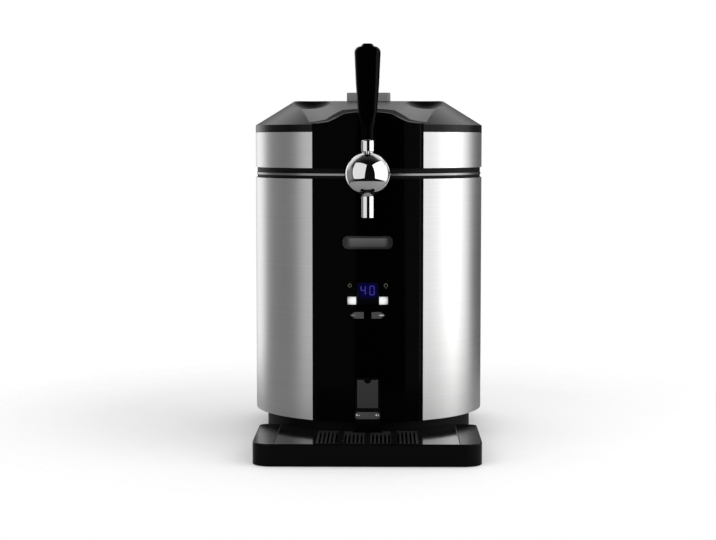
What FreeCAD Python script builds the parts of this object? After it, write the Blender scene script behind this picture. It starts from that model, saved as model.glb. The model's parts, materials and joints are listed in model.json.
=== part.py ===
import FreeCAD, Part
import math
import os
import re

import Sketcher

# Mini keg beer dispenser: a cooled cabinet for a five litre keg, with a ball tap on its front column,
# a hinged lid and a drip tray.
#
# Frame: millimetres, +Z up, -Y to the front, +X to the right of someone facing the front.
# The origin is on the floor, on the axis of the keg chamber.

Vector = FreeCAD.Vector
document = FreeCAD.newDocument("MiniKegDispenser")
sheet = document.addObject("Spreadsheet::Sheet", "Sizes")

# ---------------------------------------------------------------------------------------------------
# Driving sizes
# ---------------------------------------------------------------------------------------------------

HOUSING = {
    "body_radius": 138,         # the front of the housing is half a circle of this radius
    "body_rear": 195,           # flat back of the housing, from the chamber's axis
    "corner_radius": 40,        # upright rear corners
    "panel_bottom": 37.2,       # lower edge of the steel panels
    "panel_top": 318.2,         # upper edge of the steel panels
    "panel_thickness": 0.8,
    "shell_gap": 0.2,           # between a steel panel and the shell behind it
    "shell_wall": 2.6,
    "shell_floor": 3,
    "seat_gap": 0.3,            # between neighbours that are not clamped together
    "bite": 1,                  # how far a cut or a joined form runs past the face it meets
}
COLUMN = {
    "column_half": 64,          # half the width of the front column
    "face_half": 60,            # half the width of its raised face
    "face_rise": 1.2,           # how far the raised face stands out of the housing's circle
    "face_round": 2.5,          # radius of the raised face's upright edges
    "column_wall": 3,
    "column_depth": 34,         # from the housing's front to the ends of the column's side walls
    "boss_radius": 3,
    "boss_spread": 34,
    "guide_half": 14.6,         # shallow guide in the column for the tray's upstand
    "guide_top": 92,
    "guide_depth": 2.4,
    "guide_rib": 4,
}
SEAM = {
    "seam_inset": 2,            # deck and lid liner stand back this far from the panels
    "deck_depth": 10.2,
    "deck_lip": 3.8,            # how far the deck stands above the panels
    "trim_height": 2.4,
    "trim_inset": 1.3,
    "trim_width": 3,
    "parting_gap": 0.4,         # from the trim to the underside of the closed lid
    "gasket_setback": 5,
    "gasket_width": 5,
    "gasket_height": 2.5,
    "gasket_gap_half": 16,
    "channel_half": 13,         # way for the beer line, from the chamber to the tap shank
    "channel_setback": 17,      # from the housing's front to the end of the beer line's way
}
CHAMBER = {
    "chamber_radius": 90,
    "chamber_wall": 1.2,
    "chamber_floor": 73.2,
    "chamber_flange": 5,
    "foam_rear": 108,
}
PLINTH = {
    "plinth_inset": 14,
    "plinth_bottom": 6,
    "plinth_wall": 3,
    "foot_radius": 11,
    "foot_top_radius": 12,
    "foot_x": 88,
    "foot_front": 62,
    "foot_rear": 150,
}
LID = {
    "liner_edge": 5.8,          # from the lid's underside to its steel band
    "band_height": 41.6,
    "rim_height": 8.7,          # height of the lid's black rim, where the slope starts
    "slope_rise": 29.1,         # from the rim to the flat top
    "slope_run": 47,            # how far the slope runs in from the rim
    "crown_corner": 18,         # corner radius of the flat top
    "inner_corner": 16,
    "lid_skin": 2.6,
    "hood_half": 61,            # arch over the column, where the ramp of the lid starts
    "hood_knee": 43.7,
    "hood_shoulder": 26.4,
    "hood_foot_rise": 4,        # heights of the arch above the band
    "hood_knee_rise": 9.5,
    "hood_shoulder_rise": 20.2,
    "hood_crown_rise": 22.9,
    "ramp_lead": 2,             # how far in front of the housing the ramp's form starts
    "ramp_rear": 27,            # where the ramp reaches the flat top
    "ramp_half": 92,            # half its width there
    "ramp_arch": 0.05,          # what is left of its arch there
    "dish_x": 68,               # one round dish either side, at the upper end of the ramp
    "dish_y": 50,
    "dish_rise": 22.6,          # centre of the dish's sphere above the flat top
    "dish_radius": 36,
    "cup_room": 5,              # recess in the liner for the head of the keg
    "cup_cover": 29,            # from the flat top down to the recess
    "cup_wall": 2.5,
    "liner_plate": 3,
    "tunnel_room": 12.6,
    "tunnel_wall": 2.5,
    "lid_foam_drop": 1.2,
    "rail_front": 66.5,         # front end of the two rails that the latch bar slides on
}
HINGE = {
    "hinge_standoff": 7,
    "hinge_rise": 2.2,
    "hinge_pin_radius": 2.5,
    "hinge_running": 0.08,
    "barrel_radius": 6,
    "ear_inner": 30,
    "ear_middle": 45,
    "ear_outer": 60,
    "ear_gap": 0.4,
    "ear_root": 20,
    "ear_foot": 0.5,            # between the foot of a lid ear and the lower edge of the band
    "ear_heel": 2,
    "ear_height": 22,
    "pin_overhang": 1.5,
}
LATCH = {
    "button_half": 26.5,
    "button_depth_half": 18,
    "button_rise": 10.5,
    "button_travel": 4,
    "button_wall": 2.4,
    "button_skirt_drop": 7,
    "bar_rise": 6.8,
    "bar_thickness": 3,
    "bar_half": 18,
    "bar_rear": 26,
    "bar_setback": 9,
    "wedge_half": 6,
    "wedge_back": 2,            # from the middle of the button to the foot of the wedge's slope
    "wedge_room": 1,
    "wedge_clearance": 0.4,
    "yoke_depth": 21.8,
    "yoke_shoulder": 12.8,
    "hook_inner": 22,
    "hook_outer": 38,
    "hook_reach": 7,
    "hook_lip": 1.5,
    "hook_lip_height": 4,
    "hook_slot_gap": 0.5,
    "hook_slot_length": 9.5,
    "keeper_thickness": 1.4,
    "keeper_margin": 3,
    "rail_half": 3,
}
TAP = {
    "tap_standoff": 28.8,       # from the column's face to the ball's centre
    "tap_rise": 0.1,            # the ball's centre above the underside of the closed lid
    "ball_radius": 26.2,
    "cam_radius": 9.5,
    "cam_offset": 5,
    "cam_width": 12,
    "cam_room": 0.7,
    "pin_radius": 2,
    "pin_running": 0.06,
    "pin_fit": 0.02,
    "pin_half": 12,
    "pin_end_gap": 0.2,
    "stem_radius": 2.8,
    "stem_room": 0.4,
    "lever_throw": 25,          # degrees
    "ferrule_radius": 7.6,
    "ferrule_top": 38,
    "ferrule_bevel": 1,
    "stud_radius": 4,
    "stud_top": 50,
    "swing_gap": 0.4,
    "spout_radius": 7.45,
    "spout_bore": 5,
    "spout_bottom": 49.8,
    "spout_bevel": 0.6,
    "spout_mouth": 1,           # bevel inside the mouth
    "spigot_radius": 6.2,
    "spigot_top": 19.3,
    "spigot_fit": 0.1,
    "shank_radius": 8,
    "shank_bore": 5.3,
    "shank_start": 25,
    "shank_end": 66,
    "shank_bevel": 1,
    "shank_throat": 3,          # wall between the shank's wide bore and the barb's
    "barb_crest": 5.4,
    "barb_root": 4.1,
    "barb_bore": 3,
    "barb_end": 82,
    "shank_room": 0.4,
    "plunger_radius": 3,
    "plunger_head": 5,
    "plunger_head_length": 9,
    "plunger_end": 60,
    "plunger_seat": 4.8,        # radius of the seat at its rear end
    "plunger_seat_length": 3,
    "plunger_cone": 2,
    "plunger_gap": 0.2,
    "collar_radius": 13,
    "collar_thickness": 2.2,
    "collar_bevel": 0.8,
    "nut_radius": 11,
    "nut_length": 7.5,
}
HANDLE = {
    "handle_neck": 7,           # half widths, from the foot to the crown
    "handle_waist": 10.8,
    "handle_mid_half": 13.1,
    "handle_belly": 14.7,
    "handle_crown": 5,
    "handle_neck_top": 50,      # and the heights of these widths above the ball's centre
    "handle_waist_height": 68,
    "handle_mid": 100,
    "handle_belly_height": 135.6,
    "handle_top": 145.6,
    "handle_round": 7,
    "handle_flatness": 0.76,
}
CONTROLS = {
    "key_x": 18.3,
    "key_half": 4.8,
    "key_low": 174.2,
    "key_high": 182.9,
    "arrow_inner": 4.5,
    "arrow_shoulder": 15,
    "arrow_tip": 20.2,
    "arrow_low": 158,
    "arrow_high": 165.5,
    "key_lead": 0.8,
    "key_proud": 0.2,
    "key_gap": 0.25,
    "key_flange": 1.2,
    "key_flange_gap": 3.4,
    "key_flange_thickness": 1.5,
    "key_stem": 2,
    "stem_gap": 1,
    "board_setback": 17,
    "board_thickness": 1.6,
    "board_half": 38,
    "board_low": 146,
    "board_high": 210,
    "switch_half": 3,
    "switch_rise": 4,
    "lens_half": 12,
    "lens_low": 175.2,
    "lens_high": 199.7,
    "lens_lead": 0.1,
    "lens_depth": 3,
    "lens_sink": 0.1,
    "display_gap": 0.2,
    "display_half": 10.8,
    "display_margin": 1,
    "badge_half": 28.7,
    "badge_low": 238.2,
    "badge_high": 253.1,
    "badge_thickness": 0.9,
    "badge_rim": 1.6,
    "badge_sink": 0.35,
    "badge_corner": 6,
    "badge_gap": 0.1,
}
COOLING = {
    "block_half": 30,
    "block_low": 150,
    "block_high": 220,
    "block_rear": 110,
    "block_fit": 0.1,
    "module_half": 20,
    "module_thickness": 3.8,
    "sink_half": 55,
    "sink_low": 105,
    "sink_high": 265,
    "sink_base": 6,
    "fin_length": 45,
    "fin_thickness": 1.6,
    "fin_count": 15,
    "fan_half": 46,
    "fan_height": 185,
    "fan_thickness": 25,
    "fan_bore": 43.5,
    "fan_corner": 5,
    "fan_hub": 17,
    "fan_strut_half": 2.5,
    "fan_strut_depth": 3,
    "fan_hole_spread": 41.25,
    "fan_hole_radius": 2.2,
    "blade_count": 7,
    "blade_tip": 41.5,
    "blade_depth": 15,
    "blade_thickness": 2,
    "blade_gap": 1.5,           # between the blades and the frame's struts
    "hub_gap": 1,
    "blade_root_turn": 40,      # degrees
    "blade_tip_turn": 58,       # degrees
    "shaft_radius": 1.5,
    "shaft_running": 0.05,
}
REAR = {
    "cover_gap": 0.6,
    "cover_low": 46,
    "cover_drop": 10.2,
    "cover_wall": 3,
    "window_margin": 7,
    "window_low": 54,
    "window_drop": 8,
    "bulge_half": 74,
    "bulge_low": 98,
    "bulge_high": 284,
    "bulge_depth": 19.4,
    "vent_half": 56,
    "vent_height": 3.2,
    "vent_pitch": 7.5,
    "vent_count": 20,
    "vent_low": 114,
    "cover_screw_setback": 4,
    "cover_screw_inset": 6,
    "cover_screw_hold": 4,      # how far the screws reach through what they hold
    "fan_screw_hold": 12,
    "cover_screw_radius": 1.6,
    "screw_head_radius": 3.4,
    "screw_head_height": 2.2,
    "screw_fit": 0.1,
    "inlet_x": 48,
    "inlet_height": 72,
    "inlet_half": 13.8,
    "inlet_half_height": 10,
    "inlet_flange": 3,
    "inlet_flange_thickness": 2.4,
    "inlet_depth": 22,
    "inlet_recess_half": 11.4,
    "inlet_recess_half_height": 7.6,
    "inlet_recess_depth": 16.5,
    "inlet_recess_bevel": 4,
    "inlet_pin_length": 11.5,
    "inlet_pin_spread": 7,
    "inlet_pin_drop": 2,
    "inlet_pin_half": 2,
    "inlet_pin_thickness": 2,
    "switch_x": 46,
    "switch_height": 72,
    "rocker_half": 5.8,
    "rocker_half_height": 9.2,
    "rocker_room": 0.5,
    "switch_wall": 2,
    "switch_flange": 2.5,
    "switch_flange_thickness": 2,
    "switch_depth": 18,
    "rocker_back": 6,
    "rocker_crest": 7.6,
    "rocker_tilt": 7,           # degrees, either way from the middle
    "rocker_dip": 0.4,          # how far its low edge lies below the frame
    "rocker_ridge": 0.2,        # how far its middle stands above the frame
    "rocker_pin_radius": 1.5,
    "rocker_pin_length": 3.2,
    "rocker_sink": 1.5,
}
TRAY = {
    "tray_narrowing": 9,        # how much narrower each side of the tray is than the housing
    "tray_lead": 78.6,          # how far the tray reaches out in front of the housing
    "tray_rear": 80,
    "tray_bottom": 0.5,
    "tray_top": 25.6,
    "tray_corner": 22,
    "tray_rear_corner": 9,
    "tray_wall": 2.6,
    "tray_floor": 2.4,
    "tray_gap": 0.6,            # between the tray and the plinth that it wraps
    "tray_edge": 1.2,
    "tray_deck": 25,            # width of the tray's deck either side of the slotted plate
    "plate_rest": 2.4,
    "grille_thickness": 3.2,
    "grille_ledge": 1.3,
    "grille_gap": 0.2,
    "slot_width": 2.4,
    "slot_front": 209,
    "slot_rear": 132,
    "slot_pitch": 4.6,
    "slots_in_field": 5,
    "inner_field": 5.2,
    "outer_field": 34,
    "upstand_half": 14.2,
    "upstand_lead": 3,
    "upstand_thickness": 2.8,
    "upstand_bottom": 20,
    "upstand_top": 89.5,
    "upstand_corner": 3,
    "upstand_room": 2.2,
    "tongue_half": 12,
    "tongue_low": 54.3,
    "tongue_high": 86.9,
    "tongue_thickness": 1.8,
    "tongue_notch": 4.3,
    "catch_low": 41.7,
    "catch_high": 49.8,
    "catch_thickness": 4,
    "catch_round": 3,
}
POWER = {
    "supply_half": 50,
    "supply_front": 122,
    "supply_rear": 178,
    "supply_height": 46,
    "supply_post_inset": 5,
    "coil_half": 17,
    "coil_high": 76,
    "can_radius": 8,
    "can_high": 72,
}
GROUPS = (HOUSING, COLUMN, SEAM, CHAMBER, PLINTH, LID, HINGE, LATCH, TAP, HANDLE, CONTROLS, COOLING,
          REAR, TRAY, POWER)
# Places that follow from the sizes. Formulas use them like sizes.
PLACES = {
    "panel_end": "body_radius - corner_radius - bite",
    "guide_back": "body_radius - guide_depth",
    "column_back": "body_radius - column_depth",
    "deck_bottom": "panel_top - deck_depth",
    "deck_top": "panel_top + deck_lip",
    "trim_top": "deck_top + trim_height",
    "parting": "trim_top + parting_gap",
    "channel_front": "body_radius - channel_setback",
    "gasket_radius": "chamber_radius + gasket_setback",
    "band_bottom": "parting + liner_edge",
    "band_top": "band_bottom + band_height",
    "rim_top": "band_top + rim_height",
    "lid_top": "rim_top + slope_rise",
    "hood_foot_height": "band_top + hood_foot_rise",
    "hood_knee_height": "band_top + hood_knee_rise",
    "hood_shoulder_height": "band_top + hood_shoulder_rise",
    "hood_crown_height": "band_top + hood_crown_rise",
    "ramp_front": "body_radius + ramp_lead",
    "dish_height": "lid_top + dish_rise",
    "cup_radius": "chamber_radius + cup_room",
    "cup_top": "lid_top - cup_cover",
    "tunnel_top": "tap_height + tunnel_room",
    "lid_foam_top": "band_top - lid_foam_drop",
    "hinge_back": "body_rear + hinge_standoff",
    "hinge_height": "parting + hinge_rise",
    "button_top": "lid_top + button_rise",
    "button_skirt": "lid_top - button_skirt_drop",
    "bar_bottom": "cup_top + bar_rise",
    "bar_front": "channel_front - bar_setback",
    "wedge_tip": "bar_bottom + wedge_clearance",
    "yoke_low": "bar_bottom - yoke_depth",
    "yoke_high": "bar_bottom - yoke_shoulder",
    "hook_bottom": "deck_top - hook_reach",
    "hook_slot_rear": "bar_front - hook_slot_length",
    "tap_reach": "body_radius + face_rise + tap_standoff",
    "tap_height": "parting + tap_rise",
    "key_front": "body_radius + face_rise + key_lead",
    "key_flange_front": "body_radius - column_wall - key_flange_gap",
    "key_flange_back": "key_flange_front - key_flange_thickness",
    "board_front": "body_radius - board_setback",
    "switch_front": "board_front + switch_rise",
    "key_stem_end": "switch_front + stem_gap",
    "lens_front": "body_radius + face_rise + lens_lead",
    "lens_back": "body_radius - lens_depth",
    "display_front": "lens_back - display_gap",
    "cover_half": "panel_end - cover_gap",
    "cover_high": "panel_top - cover_drop",
    "window_half": "panel_end - window_margin",
    "window_high": "cover_high - window_drop",
    "bulge_rear": "body_rear + bulge_depth",
    "cover_screw_x": "panel_end - cover_screw_setback",
    "rocker_axis": "body_rear - rocker_sink",
    "tray_half": "body_radius - tray_narrowing",
    "tray_front": "body_radius + tray_lead",
    "plate_half": "tray_half - tray_deck",
    "upstand_front": "guide_back + upstand_lead",
}
ALIASES = set()


def fill_sheet():
    """One row per size: its name, its value and its alias."""
    row = 0
    for group in GROUPS:
        for name, number in group.items():
            row += 1
            sheet.set("A%d" % row, name)
            sheet.set("B%d" % row, str(number))
            sheet.setAlias("B%d" % row, name)
            ALIASES.add(name)
    document.recompute()


fill_sheet()

# Places that several pieces share, as formulas of the sizes above.
SHELL_OUTSIDE = "(panel_thickness + shell_gap)"
SHELL_INSIDE = "(panel_thickness + shell_gap + shell_wall)"
PLUG_INSET = "(panel_thickness + shell_gap + shell_wall + seat_gap)"
NOTCH_HALF = "(column_half + seat_gap)"
FACE_RADIUS = "(body_radius + face_rise)"
COLUMN_INSIDE = "(body_radius - column_wall)"
FLOOR_TOP = "(panel_bottom + shell_floor)"
SHELL_BACK = "(body_rear - panel_thickness - shell_gap)"
BULGE_INSIDE = "(bulge_rear - cover_wall)"
FOAM_TOP = "(deck_bottom - chamber_wall - seat_gap)"
SINK_FRONT = "(block_rear + module_thickness)"
COVER_SCREW_HEIGHTS = ("cover_low + cover_screw_inset", "(cover_low + cover_high) / 2",
                       "cover_high - cover_screw_inset")
SWITCH_HALF = "(rocker_half + rocker_room + switch_wall)"
SWITCH_HALF_HEIGHT = "(rocker_half_height + rocker_room + switch_wall)"
BAR_TOP = "(bar_bottom + bar_thickness)"
CAVITY_RADIUS = "(cam_radius + cam_offset + cam_room)"
GRILLE_BOTTOM = "(tray_top - grille_thickness)"
SLOPE = "(slope_run / (lid_top - rim_top))"
SKIN_DROP = "(lid_skin * sqrt(slope_run^2 + (lid_top - rim_top)^2) / slope_run)"


# ---------------------------------------------------------------------------------------------------
# Helpers
# ---------------------------------------------------------------------------------------------------

PIECES = []
NORMAL_SIGN = {"XY_Plane": 1, "XZ_Plane": -1, "YZ_Plane": 1}


def bound(formula):
    """The formula with each size's name replaced by its cell, and each place by its own formula."""
    def cell(match):
        word = match.group(0)
        if word in PLACES:
            return "(%s)" % bound(PLACES[word])
        return "Sizes." + word if word in ALIASES else word
    return re.sub(r"[a-z]+(?:_[a-z]+)*", cell, str(formula))


def value(formula):
    """The number that a formula gives now."""
    result = sheet.evalExpression(bound(formula))
    return float(getattr(result, "Value", result))


def bind(target, **formulas):
    """Bind properties of a feature to formulas of the sheet."""
    for name, formula in formulas.items():
        target.setExpression(name, bound(formula))


def place(target, x="0", y="0", z="0"):
    """Bind where a piece stands."""
    for letter, formula in (("x", x), ("y", y), ("z", z)):
        if formula != "0":
            target.setExpression("Placement.Base." + letter, bound(formula))


def new_body(label, x="0", y="0", z="0"):
    """A PartDesign body that becomes one node."""
    body = document.addObject("PartDesign::Body", label)
    body.Label = label
    place(body, x, y, z)
    PIECES.append(body)
    return body


def keep(piece, label):
    """Make a Part feature one node."""
    piece.Label = label
    PIECES.append(piece)
    return piece


def origin_item(body, role):
    """One of the body's own origin planes or axes."""
    return next(item for item in body.Origin.OriginFeatures if item.Role == role)


def new_sketch(body, plane, level="0"):
    """A sketch on one of the body's origin planes, moved to a level along the plane's axis."""
    sketch = body.newObject("Sketcher::SketchObject", "Sketch")
    sketch.AttachmentSupport = [(origin_item(body, plane), "")]
    sketch.MapMode = "FlatFace"
    if level != "0":
        sign = "" if NORMAL_SIGN[plane] > 0 else "-"
        sketch.setExpression("AttachmentOffset.Base.z", bound("%s(%s)" % (sign, level)))
    return sketch


def pin_point(sketch, edge, end, x, y):
    """Fix one point of an edge at x, y from the sketch's origin."""
    for kind, formula in (("DistanceX", x), ("DistanceY", y)):
        number = sketch.addConstraint(Sketcher.Constraint(kind, -1, 1, edge, end, value(formula)))
        sketch.setExpression("Constraints[%d]" % number, bound(formula))


def add_arc(sketch, start, end, centre_x, centre_y, turn):
    """An arc about a centre; a turn of 1 runs counter-clockwise from start to end, -1 clockwise."""
    centre = Vector(value(centre_x), value(centre_y), 0)
    radius = (start - centre).Length
    first = math.atan2(start.y - centre.y, start.x - centre.x)
    last = math.atan2(end.y - centre.y, end.x - centre.x)
    if turn < 0:
        first, last = last, first
    if last <= first:
        last += 2 * math.pi
    circle = Part.Circle(centre, Vector(0, 0, 1), radius)
    return sketch.addGeometry(Part.ArcOfCircle(circle, first, last))


def draw_loop(sketch, corners):
    """A closed outline. A corner is (x, y), or (x, y, centre x, centre y, turn) where the edge to
    the next corner is an arc."""
    points = [Vector(value(corner[0]), value(corner[1]), 0) for corner in corners]
    edges = []
    for index, corner in enumerate(corners):
        start = points[index]
        end = points[(index + 1) % len(corners)]
        if len(corner) == 2:
            edges.append((sketch.addGeometry(Part.LineSegment(start, end)), 1, 2))
        else:
            arc = add_arc(sketch, start, end, *corner[2:])
            edges.append((arc, 1, 2) if corner[4] > 0 else (arc, 2, 1))
    for index, corner in enumerate(corners):
        edge, start_end, far_end = edges[index]
        before, before_start, before_end = edges[index - 1]
        sketch.addConstraint(Sketcher.Constraint("Coincident", before, before_end, edge, start_end))
        pin_point(sketch, edge, start_end, corner[0], corner[1])
        if len(corner) > 2:
            span = points[(index + 1) % len(corners)] - points[index]
            kind, formula = ("DistanceY", corner[3])
            if abs(span.x) < abs(span.y):
                kind, formula = ("DistanceX", corner[2])
            number = sketch.addConstraint(
                Sketcher.Constraint(kind, -1, 1, edge, 3, value(formula)))
            sketch.setExpression("Constraints[%d]" % number, bound(formula))
    return sketch


def draw_box(sketch, left, right, low, high):
    """A rectangle between two x and two y values."""
    return draw_loop(sketch, [(left, low), (right, low), (right, high), (left, high)])


def draw_circle(sketch, x, y, radius):
    """A circle at x, y."""
    circle = Part.Circle(Vector(value(x), value(y), 0), Vector(0, 0, 1), value(radius))
    edge = sketch.addGeometry(circle)
    pin_point(sketch, edge, 3, x, y)
    number = sketch.addConstraint(Sketcher.Constraint("Radius", edge, value(radius)))
    sketch.setExpression("Constraints[%d]" % number, bound(radius))
    return sketch


def plane_of(sketch):
    """The role of the origin plane that a sketch lies on."""
    return sketch.AttachmentSupport[0][0].Role


def solid_volume(body):
    """Volume of the body as it stands."""
    document.recompute()
    return body.Shape.Volume if body.Shape.Solids else 0


def add_feature(body, kind, sketch, **formulas):
    """A sketch-based feature at the body's tip."""
    feature = body.newObject("PartDesign::" + kind, kind)
    feature.Profile = sketch
    bind(feature, **formulas)
    body.Tip = feature
    return feature


def pad(body, sketch, length, way=1):
    """Add material from the sketch, along (1) or against (-1) its plane's world axis."""
    feature = add_feature(body, "Pad", sketch, Length=length)
    feature.Reversed = way != NORMAL_SIGN[plane_of(sketch)]
    document.recompute()
    return feature


def pad_both(body, sketch, length):
    """Add material to both sides of the sketch, half the length each way."""
    feature = add_feature(body, "Pad", sketch, Length=length)
    feature.SideType = "Symmetric"
    document.recompute()
    return feature


def pocket(body, sketch, length, way=1):
    """Cut from the sketch, along (1) or against (-1) its plane's world axis."""
    before = solid_volume(body)
    feature = add_feature(body, "Pocket", sketch, Length=length)
    feature.Reversed = way == NORMAL_SIGN[plane_of(sketch)]
    check_cut(body, before)
    return feature


def pocket_both(body, sketch, length):
    """Cut to both sides of the sketch, half the length each way."""
    before = solid_volume(body)
    feature = add_feature(body, "Pocket", sketch, Length=length)
    feature.SideType = "Symmetric"
    check_cut(body, before)
    return feature


def check_cut(body, before):
    """Stop where a cut has taken nothing away."""
    after = solid_volume(body)
    if not 0 < after < before:
        raise ValueError("%s: a cut took nothing away" % body.Label)


def revolve(body, sketch, role="Z_Axis"):
    """Turn the sketch about one of the body's axes."""
    feature = body.newObject("PartDesign::Revolution", "Revolution")
    feature.Profile = sketch
    feature.ReferenceAxis = (origin_item(body, role), [""])
    feature.Angle = 360
    body.Tip = feature
    document.recompute()
    return feature


def loft(body, sketches, kind="AdditiveLoft"):
    """Join sketches, first to last, as added or removed material."""
    feature = body.newObject("PartDesign::" + kind, kind)
    feature.Profile = sketches[0]
    feature.Sections = sketches[1:]
    body.Tip = feature
    document.recompute()
    return feature


def repeat_along(body, features, role, pitch, count):
    """Repeat features along one of the body's axes."""
    feature = body.newObject("PartDesign::LinearPattern", "LinearPattern")
    feature.Originals = features
    feature.Direction = (origin_item(body, role), [""])
    feature.Mode = "Spacing"
    bind(feature, Offset=pitch, Occurrences=count)
    body.Tip = feature
    document.recompute()
    return feature


def repeat_round(body, features, role, count):
    """Repeat features evenly round one of the body's axes."""
    feature = body.newObject("PartDesign::PolarPattern", "PolarPattern")
    feature.Originals = features
    feature.Axis = (origin_item(body, role), [""])
    feature.Angle = 360
    bind(feature, Occurrences=count)
    body.Tip = feature
    document.recompute()
    return feature


def mirror(body, features, role="YZ_Plane"):
    """Mirror features across one of the body's planes."""
    feature = body.newObject("PartDesign::Mirrored", "Mirrored")
    feature.Originals = features
    feature.MirrorPlane = (origin_item(body, role), [""])
    body.Tip = feature
    document.recompute()
    return feature


def edges_where(body, test):
    """Names of the body's edges whose middle point and direction pass the test."""
    names = []
    for number, edge in enumerate(body.Tip.Shape.Edges, 1):
        middle = edge.valueAt((edge.FirstParameter + edge.LastParameter) / 2)
        along = edge.tangentAt((edge.FirstParameter + edge.LastParameter) / 2)
        if test(middle, along, edge):
            names.append("Edge%d" % number)
    return names


def fillet(body, radius, test):
    """Round the edges that pass the test."""
    names = edges_where(body, test)
    if not names:
        raise ValueError("%s: no edge to round" % body.Label)
    base = body.Tip
    feature = body.newObject("PartDesign::Fillet", "Fillet")
    feature.Base = (base, names)
    bind(feature, Radius=radius)
    body.Tip = feature
    document.recompute()
    return feature


def chamfer(body, size, test):
    """Bevel the edges that pass the test."""
    names = edges_where(body, test)
    base = body.Tip
    feature = body.newObject("PartDesign::Chamfer", "Chamfer")
    feature.Base = (base, names)
    bind(feature, Size=size)
    body.Tip = feature
    document.recompute()
    return feature


def upright(middle, along, edge):
    """True for edges that stand upright."""
    return abs(along.z) > 0.999


def cylinder(radius, height, x="0", y="0", z="0", along="z"):
    """A Part cylinder whose axis starts at x, y, z and runs along an axis: x, y or z."""
    shape = document.addObject("Part::Cylinder", "Cylinder")
    bind(shape, Radius=radius, Height=height)
    turns = {
        "x": FreeCAD.Rotation(Vector(0, 1, 0), 90),
        "y": FreeCAD.Rotation(Vector(1, 0, 0), -90),
        "z": FreeCAD.Rotation(),
    }
    shape.Placement = FreeCAD.Placement(Vector(0, 0, 0), turns[along])
    place(shape, x, y, z)
    return shape


def box(left, right, front, rear, low, high):
    """A Part box between two x, two y and two z values."""
    shape = document.addObject("Part::Box", "Box")
    bind(shape, Length="(%s) - (%s)" % (right, left), Width="(%s) - (%s)" % (rear, front),
         Height="(%s) - (%s)" % (high, low))
    place(shape, left, front, low)
    return shape


def fuse(shapes):
    """One solid of several shapes."""
    joined = document.addObject("Part::MultiFuse", "Fuse")
    joined.Shapes = shapes
    return joined


def cut(base, tool):
    """The base without the tool."""
    rest = document.addObject("Part::Cut", "Cut")
    rest.Base = base
    rest.Tool = tool
    return rest


def group(shapes):
    """Separate solids that share one node."""
    compound = document.addObject("Part::Compound", "Group")
    compound.Links = shapes
    return compound


# ---------------------------------------------------------------------------------------------------
# Outlines that several pieces share
# ---------------------------------------------------------------------------------------------------

def housing_corners(inset, corner="corner_radius"):
    """Plan of the housing, moved in: half circle in front, rounded corners at the back."""
    radius = "(body_radius - %s)" % inset
    back = "(body_rear - %s)" % inset
    turn = "(%s - %s)" % (corner, inset) if corner == "corner_radius" else "(%s)" % corner
    side_x = "(%s - %s)" % (radius, turn)
    side_y = "(%s - %s)" % (back, turn)
    return [
        ("-" + radius, "0", "0", "0", 1),
        (radius, "0"),
        (radius, side_y, side_x, side_y, 1),
        (side_x, back),
        ("-" + side_x, back, "-" + side_x, side_y, 1),
        ("-" + radius, side_y),
    ]


def depth_at(radius, x):
    """How far in front of the axis a circle about it lies at x."""
    return "sqrt((%s)^2 - (%s)^2)" % (radius, x)


def panel_corners(sign):
    """Plan of a steel skin that runs from the column round one side to the flat back."""
    outer = "body_radius"
    inner = "(body_radius - panel_thickness)"
    back_in = "(body_rear - panel_thickness)"
    start = NOTCH_HALF
    centre = "(body_radius - corner_radius)"
    centre_y = "(body_rear - corner_radius)"

    def side(x):
        return x if sign > 0 else "-" + x

    return [
        (side(start), "-" + depth_at(outer, start), "0", "0", sign),
        (side(outer), "0"),
        (side(outer), centre_y, side(centre), centre_y, sign),
        (side(centre), "body_rear"),
        (side("panel_end"), "body_rear"),
        (side("panel_end"), back_in),
        (side(centre), back_in, side(centre), centre_y, -sign),
        (side(inner), centre_y),
        (side(inner), "0", "0", "0", -sign),
        (side(start), "-" + depth_at(inner, start)),
    ]


def column_face_corners():
    """Plan of the column's front wall: a raised face between two lower edges."""
    edge = "body_radius"
    step = "(face_half + face_rise)"
    return [
        ("-column_half", "-" + depth_at(edge, "column_half"), "0", "0", 1),
        ("-" + step, "-" + depth_at(edge, step)),
        ("-face_half", "-" + depth_at(FACE_RADIUS, "face_half"), "0", "0", 1),
        ("face_half", "-" + depth_at(FACE_RADIUS, "face_half")),
        (step, "-" + depth_at(edge, step), "0", "0", 1),
        ("column_half", "-" + depth_at(edge, "column_half")),
        ("column_half", "-" + depth_at(COLUMN_INSIDE, "column_half"), "0", "0", -1),
        ("-column_half", "-" + depth_at(COLUMN_INSIDE, "column_half")),
    ]


def column_return_corners(sign):
    """Plan of one side wall of the column, from its front wall back to where it ends."""
    outer = "column_half"
    inner = "(column_half - column_wall)"
    start = "-(%s + 2 * column_wall / 3)" % depth_at(COLUMN_INSIDE, "column_half")
    end = "-(column_back + seat_gap)"

    def side(x):
        return x if sign > 0 else "-" + x

    return [
        (side(inner), start),
        (side(outer), start),
        (side(outer), end),
        (side(inner), end),
    ]


def ramp_corners(half, knee, shoulder, foot_height, knee_height, shoulder_height, crown_height):
    """Front view of the space above the lid's ramp, at one end of it."""
    rise = "(%s - %s)" % (crown_height, shoulder_height)
    radius = "(((%s)^2 + %s^2) / (2 * %s))" % (shoulder, rise, rise)
    centre = "(%s - %s)" % (crown_height, radius)
    top = "(lid_top + button_half)"
    return [
        ("-" + half, foot_height), ("-" + knee, knee_height),
        ("-" + shoulder, shoulder_height, "0", centre, -1),
        (shoulder, shoulder_height), (knee, knee_height), (half, foot_height),
        (half, top), ("-" + half, top)]


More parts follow.
